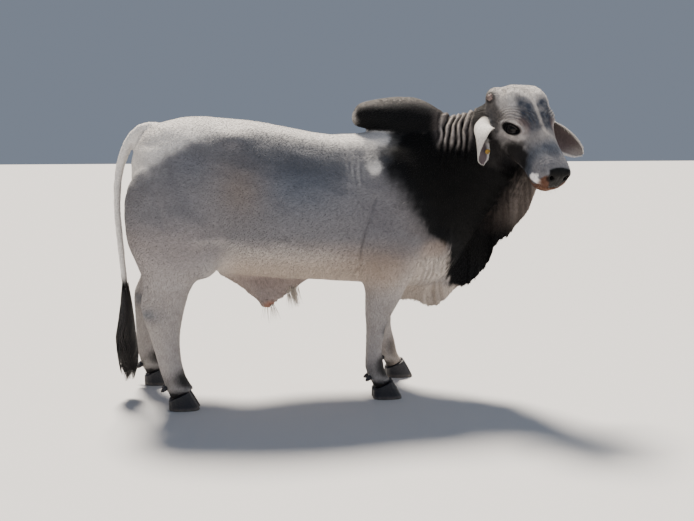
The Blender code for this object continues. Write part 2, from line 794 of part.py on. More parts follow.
def lathe(name, centre, axis, profile, sides):
    """A turned piece: profile rows are distance along the axis and radius."""
    turn = facing(axis).to_3x3()
    rings = []
    for distance, radius in profile:
        ring = []
        for k in range(sides):
            angle = 2 * math.pi * k / sides
            spot = Vector((distance, radius * math.cos(angle), radius * math.sin(angle)))
            ring.append(centre + turn @ spot)
        rings.append(ring)
    return loft(name, rings)


def ear_tag():
    """Two round buttons on a pin through the right ear, near its front edge."""
    root = head_matrix() @ mirrored(EAR_ROOT, -1)
    share, angle = TAG_PLACE
    width, curl = [row[1:] for row in refine(EAR, 41)][round(share * 40)]
    axis, radius, rolled, inward, across = ear_section(root, RIGHT_EAR, share, width, curl)
    outward = across * math.sin(angle * rolled) - inward * math.cos(angle * rolled)
    off = EAR_WALL[1] / 2 + TAG_CLEARANCE
    profile = ((-off - TAG_THICKNESS, TAG_RADIUS), (-off, TAG_RADIUS), (-off, TAG_PIN),
               (off, TAG_PIN), (off, TAG_RADIUS), (off + TAG_THICKNESS, TAG_RADIUS))
    return lathe("ear_tag", axis + outward * radius, outward, profile, 12)


def horn_bud(name, side):
    return ball(name, head_matrix() @ mirrored(HORN_BUD, side), BUD_SIZE, None, 10)


def hump_form():
    obj = hump_core()
    remesh(obj, BODY_VOXEL)
    relax(obj, 8, np.ones(len(obj.data.vertices)))
    thin_out(obj, HUMP_TRIANGLES)
    obj.name = "hump"
    return obj


def dewlap_form():
    """A hanging sheet of skin from between the forelegs to the chin, folded at its edge."""
    rows = refine(DEWLAP, 40)
    sides = 10
    rings = []
    for i, (x, y, top, bottom, width) in enumerate(rows):
        before = rows[max(i - 1, 0)]
        after = rows[min(i + 1, len(rows) - 1)]
        path = Vector((after[0] - before[0], after[1] - before[1], 0.0)).normalized()
        side = Vector((-path.y, path.x, 0.0))
        place = i / (len(rows) - 1)
        swing = DEWLAP_WAVE * math.sin(2 * math.pi * DEWLAP_FOLDS * place) * math.sin(math.pi * place)
        ring = []
        for k in range(sides):
            angle = 2 * math.pi * k / sides
            rise = 0.5 + 0.5 * math.sin(angle)
            half = DEWLAP_EDGE + (width - DEWLAP_EDGE) * rise ** 1.5
            across = half * math.cos(angle) + swing * (1 - rise) ** 1.2
            ring.append(Vector((x, y, bottom + (top - bottom) * rise)) + side * across)
        rings.append(ring)
    return loft("dewlap", rings)


def sheath_form():
    rings = []
    for x, top, bottom, width in refine(SHEATH, 15):
        middle = 0.5 * (top + bottom)
        rings.append(section(Vector((x, 0.0, middle)), Vector((0, 1, 0)), Vector((0, 0, 1)), width,
                             top - middle, middle - bottom, 2.0, 12))
    obj = loft("sheath", rings)
    centre, radii, lean = SHEATH_OPENING
    opening = ball("opening", centre, radii, Matrix.Rotation(lean, 4, "Y"), 10)
    boolean(obj, opening, "DIFFERENCE")
    remove(opening)
    return obj


def scrotum_form():
    x, z = SCROTUM
    pieces = [ball("neck", (x, 0.0, z + 0.130), (0.040, 0.046, 0.120))]
    for side in (-1, 1):
        pieces.append(ball("testis", (x, side * 0.030, z), (0.044, 0.042, 0.072)))
    obj = joined("scrotum", pieces)
    remesh(obj, 0.7 * BODY_VOXEL)
    relax(obj, 10, np.ones(len(obj.data.vertices)))
    thin_out(obj, SCROTUM_TRIANGLES)
    return obj


def tube(name, rows, sides):
    """A round bar along a curve in the bull's middle plane: rows are x, z and radius."""
    rings = []
    for i, (x, z, radius) in enumerate(rows):
        before = rows[max(i - 1, 0)]
        after = rows[min(i + 1, len(rows) - 1)]
        path = Vector((after[0] - before[0], 0.0, after[1] - before[1])).normalized()
        up = path.cross(Vector((0, 1, 0)))
        rings.append(section(Vector((x, 0.0, z)), Vector((0, 1, 0)), up, radius, radius, radius, 2.0, sides))
    return loft(name, rings)


def tail_form():
    """The tail from its root in the rump to where the switch takes over, in two lengths."""
    whole = tube("tail_upper", refine(TAIL, 18), 8)
    end = beyond("end", Vector((-0.8, 0.0, TAIL_END)), Vector((0.0, 0.001, -1.0)))
    boolean(whole, end, "DIFFERENCE")
    remove(end)
    lower = part_by_plane(whole, "tail_lower", (Vector((-0.8, 0.0, TAIL_SPLIT)), Vector((0.0, 0.001, -1.0))))
    return whole, lower


def switch_row(rows, height):
    """The switch's centre line and half width at a height."""
    heights = [row[1] for row in reversed(rows)]
    x = float(np.interp(height, heights, [row[0] for row in reversed(rows)]))
    return x, float(np.interp(height, heights, [row[2] for row in reversed(rows)]))


def switch_lock(rows, draw, k):
    """One flat wavy lock, rooted in the core and running out to a fine end."""
    top, tip = SWITCH[0][1], SWITCH[-1][1]
    share = k / (SWITCH_LOCKS - 1)
    start = top - 0.020 - 0.150 * share - 0.02 * draw.random()
    end = tip + 0.16 * draw.random() ** 1.5 if k else tip
    angle = GOLDEN_ANGLE * k
    twist = draw.uniform(-0.7, 0.7)
    phase = draw.uniform(0.0, 6.28)
    stations = 7
    rings = []
    for i in range(stations):
        t = i / (stations - 1)
        height = start + (end - start) * t
        x, radius = switch_row(rows, height)
        turn = angle + twist * t
        out = Vector((math.cos(turn), math.sin(turn), 0.0))
        across = Vector((-out.y, out.x, 0.0))
        wave = LOCK_WAVE * math.sin(phase + 7.5 * t) * t
        fullness = 0.75 + 0.5 * math.sin(math.pi * min(1.0, 1.25 * t))
        half_width = LOCK_WIDTH * fullness * (1 - t ** 2.2) + LOCK_TIP
        half_depth = LOCK_THICKNESS * (1 - 0.85 * t) + LOCK_TIP / 3
        reach = max(0.0, (0.45 + 0.55 * t) * radius - half_depth)
        middle = Vector((x, 0.0, height)) + out * reach + across * wave
        rings.append([middle + across * half_width, middle + out * half_depth,
                      middle - across * half_width, middle - out * half_depth])
    return loft("lock", rings)


def switch_form():
    """Long locks round a thin core, fused into one body."""
    rows = refine(SWITCH, 25)
    top, tip = SWITCH[0][1], SWITCH[-1][1]
    low = top + (tip - top) * SWITCH_CORE_SHARE
    core = []
    for i in range(7):
        height = top + (low - top) * i / 6
        x, radius = switch_row(rows, height)
        core.append((x, height, radius * (1.0 - 0.75 * (i / 6) ** 2)))
    draw = random.Random(11)
    locks = [switch_lock(rows, draw, k) for k in range(SWITCH_LOCKS)]
    return fused("tail_switch", [tube("tail_switch", core, 9), *locks])


def claw(name, foot, coronet, side):
    """One claw of a cloven hoof, flat on the floor and cut off along the coronet."""
    heel, heel_top, front_top = coronet
    slope = (front_top - heel_top) / CLAW_LENGTH[1]
    spread = Matrix.Rotation(side * SPLAY, 3, "Z")
    rings = []
    for share, inset in ((0.0, 0.003), (0.05, 0.0), (0.5, 0.0), (1.0, 0.0)):
        length = CLAW_LENGTH[0] + (CLAW_LENGTH[1] - CLAW_LENGTH[0]) * share - 2 * inset
        width = CLAW_WIDTH[0] + (CLAW_WIDTH[1] - CLAW_WIDTH[0]) * share - inset
        ring = []
        for k in range(14):
            angle = 2 * math.pi * k / 14
            c, s = math.cos(angle), math.sin(angle)
            ahead = inset + length * (0.5 + 0.5 * math.copysign(abs(c) ** 0.8, c))
            bulge = abs(s) ** 0.87
            out = 0.30 + 0.70 * bulge if s > 0 else 0.30 * (1 - bulge)
            offset = spread @ Vector((ahead, side * (CLEFT + width * out), 0.0))
            height = (heel_top + offset.x * slope - GAP) * share
            ring.append(Vector((heel + foot.x + offset.x, foot.y + offset.y, height)))
        rings.append(ring)
    return loft(name, rings)


def dewclaw(name, root, side):
    """A small blunt cone behind the fetlock."""
    length, radius = DEWCLAW_SIZE
    way = Vector((-0.80, side * 0.25, -0.55)).normalized()
    profile = ((0.0, radius), (0.4 * length, radius), (0.75 * length, 0.8 * radius), (length, 0.35 * radius))
    return lathe(name, root - way * 0.3 * length, way, profile, 6)


def foot(leg, kind, side_name, side, shift, coronet, offset, back):
    """Cuts the leg off at the coronet and adds its two claws and two dewclaws."""
    heel, heel_top, front_top = coronet
    slope = (front_top - heel_top) / CLAW_LENGTH[1]
    under = beyond("under", Vector((heel + shift, 0.0, heel_top)), Vector((slope, 0.0, -1.0)))
    boolean(leg, under, "DIFFERENCE")
    remove(under)
    centre = Vector((shift, side * offset, 0.0))
    made = []
    for place, way in (("outer", side), ("inner", -side)):
        made.append(claw(f"hoof_{kind}_{side_name}_{place}", centre, coronet, way))
        root = Vector((back + shift, side * offset + way * 0.027, DEWCLAW_HEIGHT))
        spur = dewclaw(f"dewclaw_{kind}_{side_name}_{place}", root, way)
        cut_clear(spur, leg)
        made.append(spur)
    return made


def build():
    """All the pieces, each in its own object, with a list of those for each material."""
    body = flesh()
    finish_flesh(body, BODY_VOXEL)
    thin_out(body, BODY_TRIANGLES)
    body.name = "torso"
    front = beyond("front", *HEAD_PLANE)
    boolean(body, front, "DIFFERENCE")
    remove(front)
    neck = part_by_plane(body, "neck", NECK_PLANE)

    legs = []
    horn = []
    for side, side_name, fore, hind in ((-1, "right", 0.0, 0.0), (1, "left", FORE_SHIFT, HIND_SHIFT)):
        foreleg = part_by_box(body, f"foreleg_{side_name}", FORE_BOX, side, 0.35 * fore)
        hindleg = part_by_box(body, f"hindleg_{side_name}", HIND_BOX, side)
        horn += foot(foreleg, "fore", side_name, side, fore, FORE_CORONET, 0.190, 0.458)
        horn += foot(hindleg, "hind", side_name, side, hind, HIND_CORONET, 0.230, -0.596)
        legs += [foreleg, hindleg]

    eyes = [eyeball("eye_right", -1), eyeball("eye_left", 1)]
    head = head_details(head_form(), eyes)
    buds = [horn_bud("horn_bud_right", -1), horn_bud("horn_bud_left", 1)]
    ears = [ear("ear_right", -1), ear("ear_left", 1)]
    for piece in buds + ears:
        cut_clear(piece, head, neck, by=2 * GAP)
    tag = ear_tag()
    cut_clear(ears[0], tag)

    hump = hump_form()
    cut_clear(hump, body, neck)
    dewlap = dewlap_form()
    cut_clear(dewlap, body, neck, head)
    sheath = sheath_form()
    cut_clear(sheath, body)
    scrotum = scrotum_form()
    cut_clear(scrotum, body, *legs[1::2])
    tail_upper, tail_lower = tail_form()
    cut_clear(tail_upper, body)
    switch = switch_form()

    return (
        ("pale hide", PALE_HIDE, 0.75, [body, *legs, tail_upper, tail_lower, *ears, head]),
        ("dark hide", DARK_HIDE, 0.80, [neck, hump, dewlap]),
        ("bare skin", BARE_SKIN, 0.60, [sheath, scrotum]),
        ("hoof horn", HOOF_HORN, 0.45, horn),
        ("horn bud", BUD_HORN, 0.60, buds),
        ("eye", EYE_COLOUR, 0.08, eyes),
        ("switch hair", SWITCH_HAIR, 0.85, [switch]),
        ("tag plastic", TAG_YELLOW, 0.40, [tag]),
    )


def stand_on_origin(objects):
    """Moves the whole bull so that the middle of its box, at the floor, is the origin."""
    lows = np.min([points_of(obj).min(axis=0) for obj in objects], axis=0)
    highs = np.max([points_of(obj).max(axis=0) for obj in objects], axis=0)
    middle = Vector(((lows[0] + highs[0]) / 2, (lows[1] + highs[1]) / 2, lows[2]))
    for obj in objects:
        obj.location = -middle


clear_scene()
groups = build()
everything = []
for title, colour, roughness, members in groups:
    material = make_material(title, colour, roughness)
    for piece in members:
        piece.data.materials.clear()
        piece.data.materials.append(material)
        everything.append(piece)
stand_on_origin(everything)
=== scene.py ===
import math
from functools import partial

import bmesh
import bpy
import numpy as np
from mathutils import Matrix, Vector
from mathutils.bvhtree import BVHTree
from mathutils.kdtree import KDTree


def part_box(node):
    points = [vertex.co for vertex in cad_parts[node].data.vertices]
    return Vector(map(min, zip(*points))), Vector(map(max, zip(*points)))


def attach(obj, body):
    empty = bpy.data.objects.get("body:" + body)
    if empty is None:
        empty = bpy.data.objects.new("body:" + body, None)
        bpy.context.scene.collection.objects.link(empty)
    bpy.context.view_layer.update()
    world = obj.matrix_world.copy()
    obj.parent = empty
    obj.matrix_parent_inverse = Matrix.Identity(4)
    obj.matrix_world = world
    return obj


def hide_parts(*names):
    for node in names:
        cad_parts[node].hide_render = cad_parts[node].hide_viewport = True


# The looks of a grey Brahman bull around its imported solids: one skin, its coat, eyes, horn and switch.
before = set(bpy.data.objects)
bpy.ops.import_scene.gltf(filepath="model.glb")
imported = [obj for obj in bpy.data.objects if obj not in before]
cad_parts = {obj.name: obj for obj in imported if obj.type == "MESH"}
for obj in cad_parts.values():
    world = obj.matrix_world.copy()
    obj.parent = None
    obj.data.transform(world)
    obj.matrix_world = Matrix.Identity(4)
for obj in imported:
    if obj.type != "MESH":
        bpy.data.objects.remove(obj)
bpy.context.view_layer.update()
print("frame loaded")

# Places below are in the bull's measuring frame: x to the chest, y to its left, z up, spine on y = 0.
# The head has its own directions from the poll: along the face, to its left and out of the forehead.
headSpec = {
    "poll": (1.228, -0.205, 1.617),
    "turn": math.radians(75.0),
    "drop": math.radians(45.0),
    "cutPoint": (1.17, -0.13, 1.26),  # the plane where the head meets the neck
    "cutFacing": (0.62, -0.7, 0.35),
}
eyeSpec = {
    "place": (0.23, 0.106, -0.056),  # of the left eye, in the head's directions
    "looks": (0.36, 0.84, 0.38),
    "length": (0.794, -0.498, 0.349),  # from its outer corner to its inner one
    "ball": 0.029,
    "sunk": 0.0026,  # how much deeper the finer eyeball sits
    "lids": (0.029, 0.044, 0.036),  # half depth, half length and half height of the lids' mound
    "opening": (0.0275, 0.0162),  # half length and half height between the lids
}


def headDirections():
    turn, drop = headSpec["turn"], headSpec["drop"]
    along = (math.cos(drop) * math.cos(turn), -math.cos(drop) * math.sin(turn), -math.sin(drop))
    left = (math.sin(turn), math.cos(turn), 0.0)
    return np.array((along, left, np.cross(along, left)))


def middleOf(node):
    return np.array(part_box(node)).mean(axis=0)


headAxes = headDirections()
poll = np.array(headSpec["poll"])
rightEye = poll + (np.array(eyeSpec["place"]) * (1, -1, 1)) @ headAxes
toFrame = middleOf("eye_right") - rightEye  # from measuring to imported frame


def sided(spot, side):  # a point of the left half, or its match on the right (-1)
    return np.array(spot) * (1, side, 1)


def onHead(spot, side=1):  # a place in the head's directions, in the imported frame
    return poll + sided(spot, side) @ headAxes + toFrame


def linear(hexColour):  # sRGB hex to linear light
    parts = [int(hexColour[i:i + 2], 16) / 255 for i in (1, 3, 5)]
    return np.array([c / 12.92 if c <= 0.04045 else ((c + 0.055) / 1.055) ** 2.4 for c in parts])


def ramp(value, low, high):  # 0 below low, 1 above high, smooth between
    t = np.clip((value - low) / (high - low), 0.0, 1.0)
    return t * t * (3 - 2 * t)


def fall(value, low, high):  # 1 below low, 0 above high
    return 1 - ramp(value, low, high)


def within(value, start, full, fade, end):  # 1 from full to fade, 0 before start and past end
    return ramp(value, start, full) * fall(value, fade, end)


def bell(value, middle, half):
    return np.exp(-((value - middle) / half) ** 2)


def ripple(value, spacing):
    return np.sin(2 * math.pi * value / spacing)


def apart(co, spot, radii=1.0):  # distances from a place, each way in its own measure
    return np.linalg.norm((co - spot) / radii, axis=1)


def unit(v):
    v = np.asarray(v, float)
    return v / (np.linalg.norm(v, axis=-1, keepdims=True) + 1e-12)


def softNoise(co, size, seed):  # smooth random waves about this many metres across, -1 to 1
    draw = np.random.default_rng(seed)
    total = np.zeros(len(co))
    for _ in range(9):
        way = unit(draw.normal(size=3)) * draw.uniform(0.6, 1.5) * 2 * math.pi / size
        total += np.sin(co @ way + draw.uniform(0, 2 * math.pi))
    return total / 4.5


# Mesh helpers
def placed(name, data):  # a new object in the scene
    obj = bpy.data.objects.new(name, data)
    bpy.context.scene.collection.objects.link(obj)
    return obj


def meshOf(name, points, faces, edges=()):
    mesh = bpy.data.meshes.new(name)
    mesh.from_pydata([tuple(p) for p in points], edges, [tuple(f) for f in faces])
    mesh.validate()
    return placed(name, mesh)


def reshaped(mesh, *changes):  # lets bmesh functions change a mesh
    bm = bmesh.new()
    bm.from_mesh(mesh)
    for change in changes:
        change(bm)
    bm.to_mesh(mesh)
    bm.free()
    return mesh


def facingOut(bm):
    bmesh.ops.recalc_face_normals(bm, faces=bm.faces)


def ballMesh(name, segments, rings):  # a sphere of radius 1
    return reshaped(bpy.data.meshes.new(name), partial(
        bmesh.ops.create_uvsphere, u_segments=segments, v_segments=rings, radius=1.0))


def columnOf(items, field, width, kind=float):  # one property of all of a mesh's points, edges or corners
    values = np.zeros(len(items) * width, kind)
    items.foreach_get(field, values)
    return values.reshape(-1, width) if width > 1 else values


def pointsOf(mesh):
    return columnOf(mesh.vertices, "co", 3)


def setPoints(mesh, co):
    mesh.vertices.foreach_set("co", np.ascontiguousarray(co).ravel())
    mesh.update()


def normalsOf(mesh):
    return columnOf(mesh.vertices, "normal", 3)


def edgesOf(mesh):
    return columnOf(mesh.edges, "vertices", 2, np.int64)


def spread(values, edges, rounds, weight=0.5):  # evens out numbers or places over the mesh
    a, b = edges.T
    count = len(values)
    flat = values.reshape(count, -1).astype(float)
    degree = np.maximum(np.bincount(a, minlength=count) + np.bincount(b, minlength=count), 1)[:, None]
    share = np.broadcast_to(np.asarray(weight, float), (count,))[:, None]
    for _ in range(rounds):
        total = np.stack([np.bincount(a, flat[b, k], count) + np.bincount(b, flat[a, k], count)
                          for k in range(flat.shape[1])], axis=1)
        flat = flat + share * (total / degree - flat)
    return flat.reshape(values.shape)


fieldNames = {"FLOAT": "value", "FLOAT_COLOR": "color", "FLOAT_VECTOR": "vector"}


def store(mesh, name, kind, values):
    layer = mesh.attributes.new(name, kind, "POINT")
    layer.data.foreach_set(fieldNames[kind], np.ascontiguousarray(values, np.float32).ravel())


def storeTone(mesh, tone):
    store(mesh, "coat", "FLOAT_COLOR", np.column_stack((tone, np.ones(len(tone)))))


def numbersOf(mesh, name, width):
    layer = mesh.attributes[name]
    return columnOf(layer.data, fieldNames[layer.data_type], width, np.float32)


def finished(obj):  # the object's evaluated mesh, with no modifier left on it
    graph = bpy.context.evaluated_depsgraph_get()
    mesh = bpy.data.meshes.new_from_object(obj.evaluated_get(graph))
    obj.modifiers.clear()
    obj.data = mesh
    return obj


def modified(obj, kind, **settings):
    modifier = obj.modifiers.new(kind.lower(), kind)
    for name, value in settings.items():
        setattr(modifier, name, value)
    return finished(obj)


def largestShell(mesh):  # drops loose scraps and bubbles
    edges = edgesOf(mesh)
    label = np.arange(len(mesh.vertices))
    while True:
        low = np.minimum(label[edges[:, 0]], label[edges[:, 1]])
        before = label.copy()
        np.minimum.at(label, edges[:, 0], low)
        np.minimum.at(label, edges[:, 1], low)
        label = label[label]
        if (label == before).all():
            break
    best = np.bincount(label).argmax()
    if (label == best).all():
        return

    def drop(bm):
        verts = list(bm.verts)
        bmesh.ops.delete(bm, geom=[verts[i] for i in np.flatnonzero(label != best)], context="VERTS")

    reshaped(mesh, drop)


def merged(name, nodes, grow=0.0):  # the nodes' meshes, closed and grown a little, in one object
    whole = bmesh.new()
    for node in nodes:
        bm = bmesh.new()
        bm.from_mesh(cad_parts[node].data)
        bmesh.ops.remove_doubles(bm, verts=bm.verts, dist=1e-5)
        bm.normal_update()
        for vert in bm.verts:
            vert.co += vert.normal * grow
        piece = bpy.data.meshes.new(node + "_copy")
        bm.to_mesh(piece)
        bm.free()
        whole.from_mesh(piece)
        bpy.data.meshes.remove(piece)
    mesh = bpy.data.meshes.new(name)
    whole.to_mesh(mesh)
    whole.free()
    return placed(name, mesh)


def settle(obj, slot, finish, *nodes):  # its shading, material, body and the nodes it stands for; the slot is not used
    mesh = obj.data
    mesh.materials.clear()
    mesh.materials.append(finish)
    mesh.polygons.foreach_set("use_smooth", [True] * len(mesh.polygons))
    if nodes:
        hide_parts(*nodes)
    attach(obj, "root")


# Node trees
def feed(tree, node, inputs):  # gives each input its value or links it to an output
    for key, value in inputs.items():
        if isinstance(value, bpy.types.NodeSocket):
            tree.links.new(value, node.inputs[key])
        else:
            node.inputs[key].default_value = value


def addNode(tree, kind, inputs=None, **settings):
    # The kind is said without its family's name, and the new node's outputs are handed back
    families = (tree.bl_idname[:-len("Tree")], "FunctionNode", "ShaderNode", "Node")
    node = tree.nodes.new(next(f + kind for f in families if hasattr(bpy.types, f + kind)))
    for name, value in settings.items():
        setattr(node, name, value)
    feed(tree, node, inputs or {})
    return node.outputs


def shaded(material, **inputs):  # feeds the shader's inputs, named with _ for a space
    tree = material.node_tree
    feed(tree, tree.nodes["Principled BSDF"], {key.replace("_", " "): value for key, value in inputs.items()})
    return material


def newMaterial(name, **inputs):  # the material and what adds a node to it
    material = bpy.data.materials.new(name)
    material.use_nodes = True
    return shaded(material, **inputs), partial(addNode, material.node_tree)


def opaque(hexColour):
    return (*linear(hexColour), 1)


def unevenTone(name, scale, change, window=(0.3, 0.7), **inputs):
    # A material with the mesh's stored colour, lighter and darker in turns
    material, add = newMaterial(name, **inputs)
    noise = add("TexNoise", {"Scale": scale, "Detail": 2.0, "Vector": add("TexCoord")["Object"]})
    shade = add("MapRange", {"From Min": window[0], "From Max": window[1], "To Min": 1 - change,
                             "To Max": 1 + change, "Value": noise["Fac"]})
    coat = add("Attribute", attribute_name="coat")
    tinted = add("VectorMath", {0: coat["Color"], "Scale": shade[0]}, operation="SCALE")
    return shaded(material, Base_Color=tinted[0])


# Camera, floor and light, as a studio has them
cameraSpec = {
    "place": (-0.25, -4.397, 1.42),
    "turn": math.radians(8.0),  # towards the head
    "pitch": math.radians(9.06),  # downwards
    "focal": 831.0,  # in the photo's pixels
    "frameWidth": 694,
    "sensor": 36.0,
}
floorSpec = {"half": 30.0, "colour": "#c7c7c8", "roughness": 0.85}
lightSpec = {  # where each stands, the height it aims at, and its own values
    "sun": {"kind": "SUN", "place": (-0.35, 2.1, 3.7), "aim": 0.0, "colour": "#fff4e4",
            "values": {"energy": 11.0, "angle": math.radians(14)}},
    "fill": {"kind": "AREA", "place": (-1.5, -5.5, 2.6), "aim": 0.9, "colour": "#cfe0ff",
             "values": {"shape": "DISK", "size": 4.0, "energy": 26.0}},
    "front": {"kind": "AREA", "place": (4.2, -2.6, 2.6), "aim": 0.9, "colour": "#eef2f8",
              "values": {"shape": "DISK", "size": 2.5, "energy": 42.0}},
}
worldSpec = {"Color": "#d3e2fa", "Strength": 0.3}


def makeCamera():
    data = bpy.data.cameras.new("camera")
    data.sensor_width = cameraSpec["sensor"]
    data.lens = cameraSpec["focal"] * cameraSpec["sensor"] / cameraSpec["frameWidth"]
    data.clip_end = 200.0
    camera = placed("camera", data)
    camera.location = Vector(cameraSpec["place"]) + Vector(toFrame)
    camera.rotation_euler = (math.radians(90) - cameraSpec["pitch"], 0.0, -cameraSpec["turn"])
    bpy.context.scene.camera = camera


def makeStudio():
    half = floorSpec["half"]
    floor = meshOf("floor", ((-half, -half, 0), (half, -half, 0), (half, half, 0), (-half, half, 0)),
                   ((0, 1, 2, 3),))
    paint = newMaterial("matt painted floor", Roughness=floorSpec["roughness"],
                        Base_Color=opaque(floorSpec["colour"]))[0]
    floor.data.materials.append(paint)
    for name, spec in lightSpec.items():
        data = bpy.data.lights.new(name, spec["kind"])
        for key, value in spec["values"].items():
            setattr(data, key, value)
        data.color = linear(spec["colour"])
        lamp = placed(name, data)
        lamp.location = spec["place"]
        aim = Vector((0.0, 0.0, spec["aim"])) - lamp.location
        lamp.rotation_euler = aim.to_track_quat("-Z", "Y").to_euler()
    world = bpy.data.worlds.new("studio")
    world.use_nodes = True
    feed(world.node_tree, world.node_tree.nodes["Background"],
         {"Color": opaque(worldSpec["Color"]), "Strength": worldSpec["Strength"]})
    bpy.context.scene.world = world


makeCamera()
makeStudio()
print("camera, floor and lights placed")

# The skin's first form: the flesh nodes fused, evened out, made finer on the head and sunk by the coat
skinSpec = {
    "nodes": ("torso", "neck", "hump", "head", "dewlap", "sheath", "scrotum", "foreleg_right",
              "foreleg_left", "hindleg_right", "hindleg_left", "tail_upper", "tail_lower"),
    "overlap": 0.0008,
    "finest": 0.006,
    "voxel": 0.006,
    "rounds": 22,  # of evening out, on the body
    "headRounds": 9,
    "depth": 0.003,  # of the coat on the body
    "headDepth": 0.0012,
    "triangles": 186000,
}
legNodes = [name for name in skinSpec["nodes"] if "leg" in name]
tailNodes = ("tail_upper", "tail_lower")


def regionOf(co, nodes):  # for each point, the number of the nearest node
    corners, faces, owner = [], [], []
    for number, node in enumerate(nodes):
        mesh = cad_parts[node].data
        start = len(corners)
        corners += [v.co.copy() for v in mesh.vertices]
        for polygon in mesh.polygons:
            faces.append([start + i for i in polygon.vertices])
            owner.append(number)
    tree = BVHTree.FromPolygons(corners, faces)
    return np.array([owner[tree.find_nearest(Vector(p))[2]] for p in co])


def among(region, *names):  # whether each point belongs to one of these nodes
    return np.isin(region, [skinSpec["nodes"].index(name) for name in names])


def measured(co):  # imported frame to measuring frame
    return co - toFrame


def headPlaces(co):  # a along the face, b to its left, c out of the forehead
    return (measured(co) - poll) @ headAxes.T


def foldedHead(co):  # the head's places, and the same with its right half folded onto its left
    h = headPlaces(co)
    return h, np.column_stack((h[:, 0], np.abs(h[:, 1]), h[:, 2]))


def headShare(co):  # 1 on the head, 0 on the neck
    facing = unit(headSpec["cutFacing"])
    return ramp((measured(co) - headSpec["cutPoint"]) @ facing, -0.045, 0.015)


def eyeDirections(side):  # out of the eye, along its length and up across it
    out = unit(sided(eyeSpec["looks"], side) @ headAxes)
    length = sided(eyeSpec["length"], side) @ headAxes
    length = unit(length - out * (length @ out))
    up = np.cross(out, length)
    return np.array((out, length, up if up[2] > 0 else -up))


def plugEyes(bm):  # closes the eyes' openings before the skin is fused
    for side in (-1, 1):
        mesh = ballMesh("plug", 28, 16)
        co = pointsOf(mesh) * eyeSpec["lids"]
        setPoints(mesh, co @ eyeDirections(side) + onHead(eyeSpec["place"], side))
        bm.from_mesh(mesh)


def refineHead(mesh):  # halves the skin's squares on the head and the neck's folds
    co = pointsOf(mesh)
    x, _, z = measured(co).T
    share = np.maximum(headShare(co), (x > 0.8) & (z > 1.18) & (z < 1.58))

    def halve(bm):
        chosen = [f for f in bm.faces if min(share[v.index] for v in f.verts) > 0.5]
        sides = list({e for f in chosen for e in f.edges})
        bmesh.ops.subdivide_edges(bm, edges=sides, cuts=1, use_grid_fill=True)

    reshaped(mesh, halve)


def firstForm():
    obj = merged("skin", skinSpec["nodes"], skinSpec["overlap"])
    reshaped(obj.data, plugEyes, facingOut)
    modified(obj, "REMESH", mode="VOXEL", voxel_size=skinSpec["voxel"])
    largestShell(obj.data)
    mesh = obj.data
    co = pointsOf(mesh)
    region = regionOf(co, skinSpec["nodes"])
    edges = edgesOf(mesh)
    share = np.full(len(co), 0.5)
    share[among(region, *tailNodes)] = 0.1
    share[among(region, "dewlap", "sheath", "scrotum")] = 0.16
    legs = among(region, *legNodes)
    share[legs] = 0.08 + 0.42 * ramp(co[legs, 2], 0.25, 0.75)
    share *= 1 - 0.9 * headShare(co)
    share = spread(share, edges, 6)
    rounds = int(skinSpec["rounds"] * (skinSpec["finest"] / skinSpec["voxel"]) ** 2)
    setPoints(mesh, spread(co, edges, rounds, share))
    refineHead(mesh)
    co = pointsOf(mesh)
    onFace = headShare(co)
    setPoints(mesh, spread(co, edgesOf(mesh), skinSpec["headRounds"], 0.5 * onFace))
    depth = skinSpec["depth"] + (skinSpec["headDepth"] - skinSpec["depth"]) * onFace
    setPoints(mesh, pointsOf(mesh) - normalsOf(mesh) * depth[:, None])
    return obj


skin = firstForm()
print("first form of the skin:", len(skin.data.vertices), "points")

